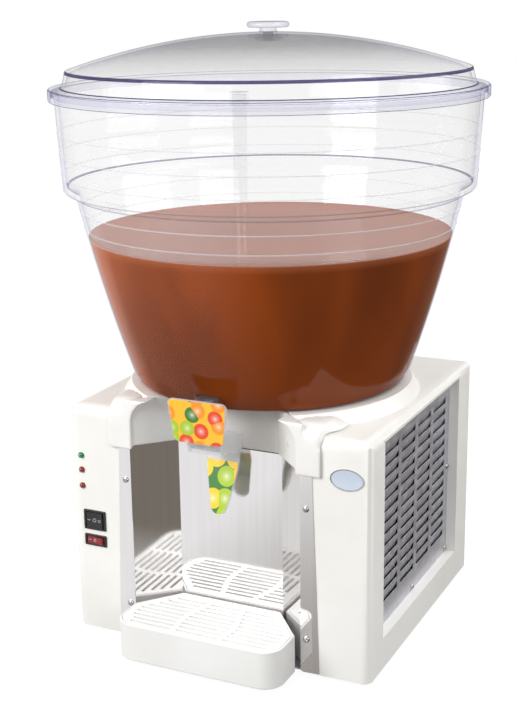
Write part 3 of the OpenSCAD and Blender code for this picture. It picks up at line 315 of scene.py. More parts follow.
# %% Plastic and rubber finishes
WHITE = paint(241, 240, 236)
WHITE_SHADE = paint(234, 232, 226)
housing_white = moulded("housing_white", WHITE, WHITE_SHADE, 0.36)
hood_white = moulded("hood_white", paint(240, 239, 236), paint(232, 230, 225), 0.33)
tray_white = moulded("tray_white", paint(242, 242, 240), paint(234, 233, 230), 0.34)
pump_white = moulded("pump_white", paint(226, 226, 224), paint(214, 214, 210), 0.42)
switch_black = moulded("switch_black", paint(26, 26, 28), paint(16, 16, 18), 0.3)
rocker_black = moulded("rocker_black", paint(31, 32, 34), paint(19, 20, 22), 0.24)
rocker_red = moulded("rocker_red", paint(136, 11, 16), paint(104, 7, 11), 0.22, Coat_Weight=0.3)
black_rubber = moulded("black_rubber", paint(34, 34, 35), paint(22, 22, 23), 0.7, 900, 0.3)
seal_rubber = moulded("seal_rubber", paint(196, 92, 60), paint(170, 76, 50), 0.6, 900, 0.3)
motor_grey = moulded("motor_grey", paint(92, 94, 98), paint(74, 76, 80), 0.5)
compressor_black = moulded("compressor_black", paint(24, 24, 26), paint(14, 14, 15), 0.42)
fan_plastic = moulded("fan_plastic", paint(46, 47, 50), paint(34, 35, 37), 0.45)
mark_white = moulded("mark_white", paint(184, 184, 182), paint(166, 166, 164), 0.5)
badge_blue = moulded("badge_blue", paint(208, 217, 229), paint(194, 205, 221), 0.28, Coat_Weight=0.5)
print("plastics:", len(bpy.data.materials))

# %% [markdown]
# Metals
#
# The recess is lined with bright stainless steel that mirrors the tray and the tap, with a faint drawn
# grain. The louvre panels are zinc coated sheet, whose crystals show as soft grey patches: a cell texture
# gives each patch its own tone and gloss.

# %% Metal finishes
stainless = sheet_metal("stainless", paint(236, 234, 234), paint(230, 228, 228), 0.06, (160, 160, 4), 0.01)
screw_steel = sheet_metal("screw_steel", paint(206, 206, 208), paint(170, 170, 174), 0.2, (300, 300, 300))
copper = sheet_metal("copper", paint(196, 120, 82), paint(160, 92, 62), 0.32, (60, 60, 60))
condenser_fins = sheet_metal("condenser_fins", paint(58, 58, 60), paint(36, 36, 38), 0.5, (30, 30, 300))


def zinc_coated(name):
    """Zinc coated sheet: crystal patches in tone and gloss over a finely dimpled face."""
    finish, tree = new_finish(name)
    shader = add(tree, "BsdfPrincipled", Metallic=0.75)
    patches = texture(tree, "TexVoronoi", Scale=130, Randomness=1)
    tone = colours(tree, patches, "Color", (0.1, paint(190, 190, 198)), (0.9, paint(208, 208, 215)))
    join(tree, tone, "Color", shader, "Base Color")
    join(tree, spread(tree, patches, "Color", 0.36, 0.5), "Result", shader, "Roughness")
    dimples = texture(tree, "TexNoise", Scale=700, Detail=3)
    bump(tree, dimples, "Fac", shader, 0.12, 0.0001)
    finish_output(tree, shader)
    return finish


galvanised = zinc_coated("galvanised")
print("metals ready")

# %% [markdown]
# Clear plastic
#
# The bowl, the lid, the tap and the tube are clear polycarbonate. A thin clear wall hardly bends the view,
# so light goes straight through a Transparent shader, and a share of it is mirrored that grows as the wall
# turns away. Seen edge on, the plastic has a violet cast. Layer Weight gives both, alike from either side
# of a wall; a Fresnel node would turn the inner side into a full mirror, as light is not bent here. Only
# the face that light enters by is tinted, so that a wall counts once.

# %% Clear finishes
CLEAR = grey(0.99)


def clear_plastic(name, face, middle, side, edge, rough, haze=0.0, centre=None):
    """Clear plastic: a tinted see-through part, a mirrored part, a little haze, and a centre greyed by
    painted shade.
    """
    finish, tree = new_finish(name)
    through = add(tree, "BsdfTransparent")
    weight = add(tree, "LayerWeight", Blend=0.5)
    tint = colours(tree, weight, "Facing", (0.0, face), (0.8, middle), (0.93, side), (1.0, edge))
    inside = add(tree, "NewGeometry")
    seen = add(tree, "MixRGB")
    seen.inputs["Color2"].default_value = CLEAR
    join(tree, inside, "Backfacing", seen, "Fac")
    join(tree, tint, "Color", seen, "Color1")
    # Painted shade: towards its centre the wall turns greyer.
    if centre:
        place = add(tree, "TexCoord")
        flat = add(tree, "Mapping", Scale=(1, 1, 0))
        join(tree, place, "Object", flat, "Vector")
        reach = add(tree, "VectorMath")
        reach.operation = "LENGTH"
        join(tree, flat, "Vector", reach, "Vector")
        grown = add(tree, "MapRange", From_Min=0.12, From_Max=0.235)
        join(tree, reach, "Value", grown, "Value")
        painted_centre_shade = colours(tree, grown, "Result", (0.0, centre), (1.0, grey(1)))
        greyer = add(tree, "MixRGB", Fac=1)
        greyer.blend_type = "MULTIPLY"
        join(tree, seen, "Color", greyer, "Color1")
        join(tree, painted_centre_shade, "Color", greyer, "Color2")
        seen = greyer
    join(tree, seen, "Color", through, "Color")
    gloss = add(tree, "BsdfPrincipled", Base_Color=(0.92, 0.92, 0.95, 1), Metallic=1)
    smears = texture(tree, "TexNoise", Scale=18, Detail=5)
    join(tree, spread(tree, smears, "Fac", rough * 0.6, rough * 1.6), "Result", gloss, "Roughness")
    share = colours(tree, weight, "Facing", (0.0, grey(0.02)), (0.6, grey(0.03)), (0.88, grey(0.13)),
                    (1.0, grey(0.65)))
    mirror = add(tree, "MixShader")
    join(tree, share, "Color", mirror, "Fac")
    join(tree, through, "BSDF", mirror, 1)
    join(tree, gloss, "BSDF", mirror, 2)
    frost = add(tree, "BsdfDiffuse", Color=(0.86, 0.86, 0.88, 1))
    mist = add(tree, "MixShader", Fac=haze)
    join(tree, mirror, "Shader", mist, 1)
    join(tree, frost, "BSDF", mist, 2)
    finish_output(tree, mist, "Shader")
    return finish


VIOLET = paint(146, 142, 190)
PALE_VIOLET = paint(226, 225, 240)
clear_bowl = clear_plastic("clear_bowl", CLEAR, grey(0.98), PALE_VIOLET, VIOLET, 0.03)
# The lid's finish has painted shade that greys the dome's centre.
clear_lid = clear_plastic("clear_lid", grey(0.97), grey(0.93), paint(240, 240, 245), paint(196, 195, 214),
                          0.06, 0.03, grey(0.76))
clear_tap = clear_plastic("clear_tap", grey(0.84), grey(0.76), paint(176, 174, 188), paint(120, 118, 140),
                          0.05, 0.05)
clear_tube = clear_plastic("clear_tube", CLEAR, CLEAR, paint(214, 214, 220), paint(146, 146, 158), 0.04)
# Painted dark lines for the lid's corners, where light bends in the clear plastic.
painted_corner_lines = clear_plastic("painted_corner_lines", paint(84, 80, 124), paint(74, 70, 114), paint(58, 54, 96),
                              paint(46, 42, 80), 0.05, 0.02)
# Painted grey line for the ledge, where light bends in the bowl's wall.
painted_ledge_line = clear_plastic("painted_ledge_line", paint(170, 169, 184), paint(158, 157, 174), paint(136, 134, 156),
                           VIOLET, 0.1, 0.04)
rim_violet = clear_plastic("rim_violet", paint(246, 246, 251), paint(238, 238, 248), paint(184, 182, 218),
                           paint(92, 88, 148), 0.05, 0.02)
knob_grey = clear_plastic("knob_grey", paint(236, 236, 240), paint(206, 206, 216), paint(126, 125, 146),
                          paint(70, 68, 94), 0.05, 0.04)
ring_clear = clear_plastic("ring_clear", paint(240, 240, 242), paint(232, 232, 236), paint(206, 206, 214),
                           VIOLET, 0.1, 0.3)
# Painted grey shade for the ledge's bends.
painted_ledge_shade = clear_plastic("painted_ledge_shade", paint(214, 214, 220), paint(204, 204, 212), paint(176, 176, 188),
                           VIOLET, 0.1, 0.1)
lever_clear = clear_plastic("lever_clear", grey(0.98), grey(0.96), paint(232, 232, 238), paint(170, 170, 188),
                            0.08, 0.42)
print("clear plastics ready")

# %% [markdown]
# Lamps and drink
#
# The lamp lenses are coloured clear plastic with a faint glow from within. The drink is a milky brown with
# soft upright streaks, and painted shade makes it darker to the right and downwards. Its open surface is
# glossier, and a painted sheen of light makes it and the band just under it paler, so the same tree is made
# twice, once for the body and once for the top. X and Z of the Object coordinates place these changes.

# %% Lamp and drink finishes


def lamp_lens(name, colour, deep):
    finish, tree = new_finish(name)
    shader = add(tree, "BsdfPrincipled", Roughness=0.12, Coat_Weight=0.6, Emission_Strength=0.06)
    shader.inputs["Emission Color"].default_value = colour
    facets = texture(tree, "TexVoronoi", Scale=900)
    tone = colours(tree, facets, "Distance", (0.1, colour), (0.8, deep))
    join(tree, tone, "Color", shader, "Base Color")
    bump(tree, facets, "Distance", shader, 0.2, 0.0002)
    finish_output(tree, shader)
    return finish


lamp_green = lamp_lens("lamp_green", paint(12, 146, 86), paint(4, 96, 54))
lamp_red = lamp_lens("lamp_red", paint(158, 20, 22), paint(104, 9, 12))


def milk_chocolate(name, gloss, painted_sheen, painted_sheen_share):
    """The drink: painted shade darker to the right and downwards, upright streaks, and a top paler with
    painted sheen.
    """
    finish, tree = new_finish(name)
    shader = add(tree, "BsdfPrincipled", Roughness=0.16, IOR=1.35, Specular_IOR_Level=gloss)
    place = add(tree, "TexCoord")
    split = add(tree, "SeparateXYZ")
    join(tree, place, "Object", split, "Vector")
    # Painted shade over the drink's brown: lighter on the left, where the key light falls, and darker to the
    # right.
    across = add(tree, "MapRange", From_Min=-0.2, From_Max=0.2)
    join(tree, split, "X", across, "Value")
    side = colours(tree, across, "Result", (0.0, paint(182, 92, 44)), (0.45, paint(142, 64, 18)),
                   (1.0, paint(128, 58, 18)))
    # Painted shade: the drink darkens downwards, away from the light from above.
    rise = add(tree, "MapRange", From_Min=0.33, From_Max=0.47)
    join(tree, split, "Z", rise, "Value")
    painted_shade_below = colours(tree, rise, "Result", (0.0, grey(0.72)), (1.0, grey(1)))
    # The two painted shades, from the side and from below, are multiplied together.
    depth = add(tree, "MixRGB", Fac=1)
    depth.blend_type = "MULTIPLY"
    join(tree, side, "Color", depth, "Color1")
    join(tree, painted_shade_below, "Color", depth, "Color2")
    swirl = texture(tree, "TexNoise", (1.2, 1.2, 0.2), Scale=9, Detail=1.5, Distortion=0.2)
    tone = colours(tree, swirl, "Fac", (0.39, grey(0.76)), (0.5, grey(0.94)), (0.61, grey(1.16)))
    mixed = add(tree, "MixRGB", Fac=1)
    mixed.blend_type = "MULTIPLY"
    join(tree, depth, "Color", mixed, "Color1")
    join(tree, tone, "Color", mixed, "Color2")
    # Painted sheen of light: towards the top the colour turns paler, up to the open surface.
    top = add(tree, "MapRange", From_Min=0.494, From_Max=0.5036, To_Min=0, To_Max=painted_sheen_share)
    join(tree, split, "Z", top, "Value")
    blend = add(tree, "MixRGB")
    blend.inputs["Color2"].default_value = painted_sheen
    join(tree, top, "Result", blend, "Fac")
    join(tree, mixed, "Color", blend, "Color1")
    join(tree, blend, "Color", shader, "Base Color")
    ripples = texture(tree, "TexNoise", Scale=26, Detail=2)
    bump(tree, ripples, "Fac", shader, 0.03, 0.001)
    finish_output(tree, shader)
    return finish


# The paler top of both finishes is painted sheen of light.
drink_brown = milk_chocolate("drink_brown", 0.04, paint(186, 110, 74), 0.4)
drink_surface = milk_chocolate("drink_surface", 0.5, paint(185, 130, 112), 0.88)
print("lenses and drink ready")

# %% [markdown]
# Dressing the CAD nodes
#
# The CAD meshes are loose triangles, and they stay as they are. A Geometry Nodes modifier joins their
# corners and shades them smooth up to the same angle as the new pieces, so round corners look round.

# %% Smooth shading for CAD nodes


def smooth_by_angle():
    group = bpy.data.node_groups.new("smooth by angle", "GeometryNodeTree")
    group.interface.new_socket("Geometry", in_out="INPUT", socket_type="NodeSocketGeometry")
    group.interface.new_socket("Geometry", in_out="OUTPUT", socket_type="NodeSocketGeometry")
    make = group.nodes.new
    start, end = make("NodeGroupInput"), make("NodeGroupOutput")
    weld = make("GeometryNodeMergeByDistance")
    weld.inputs["Distance"].default_value = MERGE
    faces = make("GeometryNodeSetShadeSmooth")
    faces.domain = "FACE"
    angle = make("GeometryNodeInputMeshEdgeAngle")
    sharp = make("FunctionNodeCompare")
    sharp.inputs[1].default_value = SHARP
    edges = make("GeometryNodeSetShadeSmooth")
    edges.domain = "EDGE"
    edges.inputs["Shade Smooth"].default_value = False
    link = group.links.new
    link(start.outputs[0], weld.inputs["Geometry"])
    link(weld.outputs["Geometry"], faces.inputs["Geometry"])
    link(faces.outputs["Geometry"], edges.inputs["Geometry"])
    link(angle.outputs["Unsigned Angle"], sharp.inputs[0])
    link(sharp.outputs["Result"], edges.inputs["Selection"])
    link(edges.outputs["Geometry"], end.inputs[0])
    return group


smoothing = smooth_by_angle()
for cad_object in cad_nodes.values():
    cad_object.modifiers.new("smooth by angle", "NODES").node_group = smoothing
print("smooth shading on", len(cad_nodes), "nodes")

# %% [markdown]
# Soft edges
#
# Moulded pieces have no knife edges. Where it shows, a planar Decimate first joins the triangles of each
# flat face, and a Bevel then rounds the sharp edges; both are live modifiers, so the CAD mesh stays whole.

# %% Soft edges on moulded pieces
SOFT = {"drip_tray": 1.3, "tray_grille": 0.5, "upper_switch_case": 0.7, "lower_switch_case": 0.7,
        "tap_lever": 0.6}
for name, width in SOFT.items():
    flat = cad_nodes[name].modifiers.new("flat faces", "DECIMATE")
    flat.decimate_type = "DISSOLVE"
    flat.angle_limit = math.radians(1)
    soft = cad_nodes[name].modifiers.new("soft edges", "BEVEL")
    soft.width = width * MM
    soft.segments = 3
    soft.limit_method = "ANGLE"
    soft.angle_limit = math.radians(40)
    soft.use_clamp_overlap = True
print("softened", len(SOFT), "pieces")

# %% Finishes on the CAD nodes
WEARS = {
    housing_white: ["housing"],
    hood_white: ["tap_hood"],
    tray_white: ["drip_tray", "tray_grille"],
    stainless: ["recess_liner", "evaporator_drum", "lever_pin", "rotor_pin"],
    screw_steel: ["liner_screws", "side_panel_screws", "rear_panel_screws", "plunger_spring"],
    galvanised: ["base_pan", "left_louvre_panel", "right_louvre_panel", "rear_panel", "fan_bracket"],
    black_rubber: ["rubber_feet", "cord_gland", "compressor_mounts", "bowl_gasket"],
    lamp_green: ["lamp_green"],
    lamp_red: ["lamp_red_upper", "lamp_red_lower"],
    switch_black: ["upper_switch_case", "lower_switch_case"],
    rocker_black: ["upper_rocker"],
    rocker_red: ["lower_rocker"],
    pump_white: ["drum_plate", "pump_rotor", "pump_cover", "valve_plunger", "thermostat"],
    motor_grey: ["pump_motor", "drive_magnet", "fan_motor", "fan_shroud"],
    compressor_black: ["compressor"],
    condenser_fins: ["condenser"],
    copper: ["filter_drier"],
    fan_plastic: ["fan_blade"],
    seal_rubber: ["plunger_seal"],
    clear_bowl: ["bowl", "lid_knob", "knob_nut"],
    clear_tube: ["spray_tube", "spray_cap"],
    clear_lid: ["lid"],
    clear_tap: ["tap_body"],
    lever_clear: ["tap_lever"],
    drink_brown: ["drink"],
}
for finish, names in WEARS.items():
    for name in names:
        for material_slot in cad_nodes[name].material_slots:
            material_slot.material = finish
print("dressed", sum(len(names) for names in WEARS.values()), "nodes")

# %% [markdown]
# The hood
#
# The hood's legs run out on the deck in soft slopes that a bevel can't give. A copy of the CAD mesh gets a
# fine even skin from a voxel Remesh, and rounds of smoothing then melt its faces into each other, as in a
# moulding. The slopes get more rounds than the rest, so the arch keeps its edges.

# %% Moulded hood
SKIN = 1.2
ROUNDS, SLOPE_ROUNDS = 12, 70
SLOPE_X, SLOPE_Z = 122, 289
copied = bpy.data.objects.new("hood copy", cad_nodes["tap_hood"].data.copy())
bpy.context.collection.objects.link(copied)
copied.modifiers.new("weld", "WELD").merge_threshold = MERGE
skin = copied.modifiers.new("skin", "REMESH")
skin.mode = "VOXEL"
skin.voxel_size = SKIN * MM
bpy.context.view_layer.update()
skin_mesh = bpy.data.meshes.new_from_object(copied.evaluated_get(bpy.context.evaluated_depsgraph_get()))
bpy.data.objects.remove(copied)
shape = bmesh.new()
shape.from_mesh(skin_mesh)


def melt(moulding, verts, rounds):
    """Smooths some vertices of a bmesh, round after round."""
    for _ in range(rounds):
        bmesh.ops.smooth_vert(moulding, verts=verts, factor=0.5, use_axis_x=True, use_axis_y=True,
                              use_axis_z=True)


melt(shape, shape.verts[:], ROUNDS)
slopes = [v for v in shape.verts if abs(v.co.x) > SLOPE_X * MM and v.co.z > SLOPE_Z * MM]
melt(shape, slopes, SLOPE_ROUNDS)
make_piece("hood_moulded", shape, hood_white, "base", ["tap_hood"], math.pi)

# %% [markdown]
# The bowl
#
# The bowl is blown in one piece: a round foot, a wall that swells as it rises, a ledge, an upright band and
# a rim. A lathe with many steps gives it a smooth outline. Faint moulded rings run round both walls and
# catch the light. The thick rim holds the violet cast, and painted grey lines mark the ledge, where light
# bends in the wall, so their faces get their own finish.
# The tap's barrel passes through the front of the foot, so a hole is cut there with a Boolean.

# %% Bowl
FOOT_Z, LEDGE_Z = 320, 556
FLOOR_Z = 326
WALL = 4
FOOT_R, NECK_R, SWELL = 171, 237, 16
EDGE_R = 9
GASKET_R = 84.4
RING_HEIGHTS = (517, 539)
BAND_RING_HEIGHTS = (581, 606, 631)
RING_PROUD = 0.5
TAP_Y, BARREL_R, BARREL_TOP = -176, 16, 340


def wall_radius(z):
    share = (z - FOOT_Z) / (LEDGE_Z - FOOT_Z)
    return FOOT_R + (NECK_R - FOOT_R) * share + SWELL * share * (1 - share)


def lower_wall(start, end, inset, count=20):
    heights = [start + (end - start) * i / count for i in range(count + 1)]
    return [(wall_radius(z) - inset, z) for z in heights]


def ring(radius, z):
    """A moulded ring that stands a little proud of the wall."""
    proud = radius + RING_PROUD
    return [(radius, z - 0.9), (proud, z - 0.3), (proud, z + 0.3), (radius, z + 0.9)]


def band_radius(z):
    return 252.2 + (257.8 - 252.2) * (z - 566) / (670 - 566)


def barrel_space():
    shape = bmesh.new()
    bmesh.ops.create_cone(shape, cap_ends=True, segments=48, radius1=BARREL_R * MM, radius2=BARREL_R * MM,
                          depth=0.08)
    bmesh.ops.translate(shape, vec=(0, TAP_Y * MM, (BARREL_TOP - 40) * MM), verts=shape.verts)
    return shape


outer_wall = arc((FOOT_R - EDGE_R, FOOT_Z + EDGE_R), EDGE_R, -90, -15, 8)
outer_wall += lower_wall(FOOT_Z + 2 * EDGE_R, RING_HEIGHTS[0] - 4, 0)
for ring_z in RING_HEIGHTS:
    outer_wall += ring(wall_radius(ring_z), ring_z)
outer_wall += [(237.6, 554.5), (239, 556.6), (247, 560.4), (250.6, 562.2), (252, 564)]
for ring_z in BAND_RING_HEIGHTS:
    outer_wall += ring(band_radius(ring_z), ring_z)
rim = [(257.7, 670), (258.4, 673.2), (260.4, 674.4), (261.4, 675.6), (261.5, 679.2), (260.8, 680)]
inner_wall = [(254.6, 680), (254, 679.2), (250, 610), (248.3, 572), (247.6, 568.5), (245, 566.6)]
inner_wall += [(238, 562.6), (235, 560)] + lower_wall(556, 341, WALL)
inner_wall += arc((wall_radius(335) - WALL - EDGE_R, 335), EDGE_R, -10, -90, 8)
inner_wall += [(GASKET_R, FLOOR_Z), (GASKET_R, FOOT_Z)]
bowl = make_piece("bowl_clear", turned(outer_wall + rim + inner_wall, 160), clear_bowl, "bowl", ["bowl"])
carve(bowl, barrel_space())
tint_bands(bowl, ring_clear, *[(wall_radius(z) - 1, 270, z - 0.95, z + 0.95) for z in RING_HEIGHTS],
           *[(band_radius(z) - 1, 270, z - 0.95, z + 0.95) for z in BAND_RING_HEIGHTS])
tint_bands(bowl, rim_violet, (253, 262, 673, 681))
# Painted grey lines where light bends in the ledge's wall.
tint_bands(bowl, painted_ledge_shade, (237, 240, 554, 558), (249, 252.5, 561, 564.5))
tint_bands(bowl, painted_ledge_line, (245.6, 247.2, 566.8, 568.3))
print("bowl cut for the barrel:", len(bowl.data.polygons), "faces")

# %% [markdown]
# The lid
#
# The lid is a shallow dome over an upright shoulder, with a band that hangs outside the rim. The dome is
# lightly frosted, which its finish gives, and a painted shade greys its centre. The corners are rounded so
# that each one holds a highlight, and painted dark lines run round them where light bends in the plastic.
# The knob is a turned button on a stem, held by a nut under the dome.

# %% Lid, knob and nut
LID_TOP = 744.4
DOME_EDGE_R, DOME_RISE = 243, 41
LID_WALL = 3


def dome_height(radius):
    return LID_TOP - DOME_RISE * (radius / DOME_EDGE_R) ** 2


STEM_HOLE = 6.2
dome_radii = [238 - (238 - STEM_HOLE) * i / 20 for i in range(21)]
lid_outline = (
    [(264.6, 669.4), (265, 670), (265, 680.4)] + arc((262, 680.4), 3, 0, 90, 5)
    + [(251, 683.4)] + arc((251, 686.4), 3, 270, 188, 5)
    + [(244.4, 700)] + arc((240.6, 700.3), 3.8, 5, 75, 5)
    + [(r, dome_height(r)) for r in dome_radii]
    + [(r, dome_height(r) - LID_WALL) for r in reversed(dome_radii)][:-1]
    + [(239.6, 699.6), (240.6, 697.6), (244.6, 684), (246.4, 680.9), (249, 680.4)]
    + [(260.6, 680.4), (262, 679), (262, 669.8), (262.4, 669.4)])
lid = make_piece("lid_clear", turned(lid_outline, 160), clear_lid, "lid", ["lid"])
# Painted dark lines round the dome's edge and the shoulder's foot.
tint_bands(lid, painted_corner_lines, (242, 245, 699.9, 703.4), (248.6, 251.5, 683.3, 685.4))
tint_bands(lid, rim_violet, (261, 265.1, 669, 683.5))
# Painted dark lines at the top and bottom edges of the hanging band.
tint_bands(lid, painted_corner_lines, (262.2, 265.1, 669, 670.1), (263.2, 265.1, 681.8, 683))
KNOB_Z = LID_TOP + 5
knob_outline = (
    [(0, 734), (6, 734), (6, LID_TOP), (12, LID_TOP + 0.2), (10.4, LID_TOP + 1.4), (9.6, LID_TOP + 5)]
    + [(20, KNOB_Z)] + arc((22, KNOB_Z + 3.5), 3.5, -80, 80, 8) + [(20, KNOB_Z + 7), (8, KNOB_Z + 6.6)]
    + [(0, KNOB_Z + 6.5)])
make_piece("lid_knob_turned", turned(knob_outline, 64, False), knob_grey, "lid", ["lid_knob"])
nut_outline = [(6.2, 734), (14.5, 734), (16, 735.5), (16, 739.5), (14.5, 741), (6.2, 741)]
make_piece("knob_nut_turned", turned(nut_outline, 48), clear_tap, "lid", ["knob_nut"])

# %% [markdown]
# The drink
#
# The drink fills the bowl up to a level a little under the ledge, round the cooling drum and the tube.
# A real wall bends light so that the drink seems to fill the wall's whole thickness. Straight light can't
# show that, so the drink's outline runs close under the wall's outer face. It ends in a thin meniscus, and
# the faces of its top get the finish of the open surface.

# %% Drink
DRINK_Z, DRUM_TOP = 505, 462
LENS = 1.2
MENISCUS = [(0.2, 0.2), (1.2, 0.4), (4, 1)]
surface_r = wall_radius(DRINK_Z) - LENS
drink_outline = [(GASKET_R + 0.4, FLOOR_Z + 0.4), (150, FLOOR_Z - 3)]
drink_outline += arc((FOOT_R - EDGE_R, FOOT_Z + EDGE_R), EDGE_R - LENS, -80, -15, 8)
drink_outline += lower_wall(FOOT_Z + 2 * EDGE_R, DRINK_Z - 1.2, LENS)
drink_outline += [(surface_r - inwards, DRINK_Z - down) for inwards, down in MENISCUS]
drink_outline += [(120, DRINK_Z - 1.2), (0, DRINK_Z - 1.2), (0, DRUM_TOP), (GASKET_R + 0.4, DRUM_TOP)]
drink = make_piece("drink_chocolate", turned(drink_outline, 128), drink_brown, "bowl", ["drink"])
carve(drink, barrel_space())
# The top faces take the finish whose paler colour is painted sheen of light.
tint_bands(drink, drink_surface, (0, 240, DRINK_Z - 1.3, DRINK_Z))

# %% [markdown]
# Screws
#
# Cross-head screws with pan heads hold the liner's strips and the louvre panels. One screw is turned on
# the lathe and its cross is carved with two crossed bars; copies of it are then set in every place.

# %% Screws
HEAD_R, HEAD_H, SHANK_R, SHANK = 4, 2.4, 2, 8
head_outline = [(0, -SHANK), (SHANK_R, -SHANK), (SHANK_R, 0), (HEAD_R, 0), (HEAD_R, 0.5)]
head_outline += [(3.8, 1.2), (3.2, 1.8), (2.2, 2.2), (1, HEAD_H - 0.03), (0, HEAD_H)]
one_screw = bpy.data.objects.new("one screw", bpy.data.meshes.new("one screw"))
bpy.context.collection.objects.link(one_screw)
turned(head_outline, 24, False).to_mesh(one_screw.data)
for turn in (0, math.pi / 2):
    bar = bmesh.new()
    crossed = Matrix.Rotation(turn, 4, "Z") @ Matrix.Diagonal((0.005, 0.001, 0.003, 1))
    bmesh.ops.create_cube(bar, size=1, matrix=crossed)
    bmesh.ops.translate(bar, vec=(0, 0, 0.0028), verts=bar.verts)
    carve(one_screw, bar)
screw_mesh = one_screw.data
bpy.data.objects.remove(one_screw)

FACING = {"front": Matrix.Rotation(math.pi / 2, 4, "X"), "back": Matrix.Rotation(-math.pi / 2, 4, "X"),
          "right": Matrix.Rotation(math.pi / 2, 4, "Y"), "left": Matrix.Rotation(-math.pi / 2, 4, "Y")}


def set_screws(name, node, places):
    """One piece of many screws, from (facing, x, y, z) places in millimetres."""
    shape = bmesh.new()
    for number, (facing, x, y, z) in enumerate(places):
        first = len(shape.verts)
        shape.from_mesh(screw_mesh)
        shape.verts.ensure_lookup_table()
        spin = Matrix.Rotation(0.6 * number + 0.3, 4, "Z")
        place = Matrix.Translation((x * MM, y * MM, z * MM)) @ FACING[facing] @ spin
        bmesh.ops.transform(shape, matrix=place, verts=shape.verts[first:])
    return make_piece(name, shape, screw_steel, "base", [node])


set_screws("liner_pan_screws", "liner_screws",
           [("front", x, -169, z) for x in (-120.5, 120.5) for z in (50, 215)])
side_spots = [(y, z) for y in (-118, 17, 152) for z in (51, 288)] + [(y, 169.5) for y in (-118, 152)]
set_screws("side_pan_screws", "side_panel_screws",
           [("right", 187, y, z) for y, z in side_spots] + [("left", -187, y, z) for y, z in side_spots])
rear_spots = [(x, z) for x in (-151, 0, 151) for z in (51, 229)] + [(x, 140) for x in (-151, 151)]
set_screws("rear_pan_screws", "rear_panel_screws", [("back", x, 201, z) for x, z in rear_spots])

# %% [markdown]
# The valve's spring
#
# A small coil spring in the tap presses the valve shut. Spin can rise while it turns, so one round of the
# wire becomes a helix.

# %% Spring
WIRE = 1.2
TURNS, TURN_STEPS = 6, 24
low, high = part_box("plunger_spring")
coil_r = (high.x - low.x) / 2 - WIRE / 2 * MM
rise = (high.z - low.z - WIRE * MM) / (TURNS * TURN_STEPS)
shape = bmesh.new()
bmesh.ops.create_circle(shape, segments=10, radius=WIRE / 2 * MM)
stand = Matrix.Translation((coil_r, TAP_Y * MM, low.z + WIRE / 2 * MM)) @ Matrix.Rotation(math.pi / 2, 4, "X")
bmesh.ops.transform(shape, matrix=stand, verts=shape.verts)
bmesh.ops.spin(shape, geom=shape.verts[:] + shape.edges[:], cent=(0, TAP_Y * MM, 0), axis=(0, 0, 1),
               dvec=(0, 0, rise), angle=math.tau * TURNS, steps=TURNS * TURN_STEPS)
bmesh.ops.holes_fill(shape, edges=[edge for edge in shape.edges if edge.is_boundary], sides=0)
bmesh.ops.recalc_face_normals(shape, faces=shape.faces)
spring = make_piece("valve_spring", shape, screw_steel, "bowl", ["plunger_spring"])
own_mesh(spring)

# %% [markdown]
# Louvre panels
#
# The side panels are thin sheets with four columns of pressed louvres. A flat grid is cut along the edges
# of every slot, the faces in the slots are deleted, and Solidify's bmesh operator gives the sheet its
# thickness. One blade, a bent strip that hangs from the upper edge of its slot, is copied to each slot.

# %% Louvre panels
PANEL_X, PANEL_Y, PANEL_Z = 187, (-122.8, 156.8), (46.2, 292.8)
SHEET = 1
SLOT_L, SLOT_H = 50, 9
SLOT_Y = [PANEL_Y[0] + 34 + 60 * column for column in range(4)]
SLOT_TOP = [PANEL_Z[1] - 22 - 14.4 * row for row in range(14)]
BLADE = [(0, 0.4), (-0.2, -0.4), (-1, -2.6), (-2.2, -5.6), (-3.3, -8.6), (-3.9, -10.4)]


def cut_across(shape, normal, places):
    """Cuts every face of a bmesh along planes across one axis, at places in millimetres."""
    for place in places:
        point = Vector(normal) * place * MM
        geometry = shape.verts[:] + shape.edges[:] + shape.faces[:]
        bmesh.ops.bisect_plane(shape, geom=geometry, plane_co=point, plane_no=normal)


def slotted_sheet():
    shape = bmesh.new()
    bmesh.ops.create_grid(shape, x_segments=1, y_segments=1, size=0.5)
    middle = Vector((PANEL_X, sum(PANEL_Y) / 2, sum(PANEL_Z) / 2)) * MM
    size = Matrix.Diagonal(((PANEL_Z[1] - PANEL_Z[0]) * MM, (PANEL_Y[1] - PANEL_Y[0]) * MM, 1, 1))
    stand = Matrix.Rotation(math.pi / 2, 4, "Y")
    bmesh.ops.transform(shape, matrix=Matrix.Translation(middle) @ stand @ size, verts=shape.verts)
    cut_across(shape, (0, 1, 0), SLOT_Y + [y + SLOT_L for y in SLOT_Y])
    cut_across(shape, (0, 0, 1), SLOT_TOP + [z - SLOT_H for z in SLOT_TOP])
    slots = []
    for face in shape.faces:
        spot = face.calc_center_median() / MM
        in_column = any(y < spot.y < y + SLOT_L for y in SLOT_Y)
        if in_column and any(z - SLOT_H < spot.z < z for z in SLOT_TOP):
            slots.append(face)
    bmesh.ops.delete(shape, geom=slots, context="FACES")
    bmesh.ops.solidify(shape, geom=shape.faces[:], thickness=SHEET * MM)
    return shape


def bent_blade():
    shape = bmesh.new()
    line = [shape.verts.new(((PANEL_X - 0.1 + x) * MM, 0.3 * MM, z * MM)) for x, z in BLADE]
    strip = [shape.edges.new(pair) for pair in zip(line, line[1:])]
    swept = bmesh.ops.extrude_edge_only(shape, edges=strip)["geom"]
    ends = [item for item in swept if isinstance(item, bmesh.types.BMVert)]
    bmesh.ops.translate(shape, vec=(0, (SLOT_L - 0.6) * MM, 0), verts=ends)
    bmesh.ops.recalc_face_normals(shape, faces=shape.faces)
    bmesh.ops.solidify(shape, geom=shape.faces[:], thickness=0.7 * MM)
    mesh = bpy.data.meshes.new("blade")
    shape.to_mesh(mesh)
    shape.free()
    return mesh


blade = bent_blade()


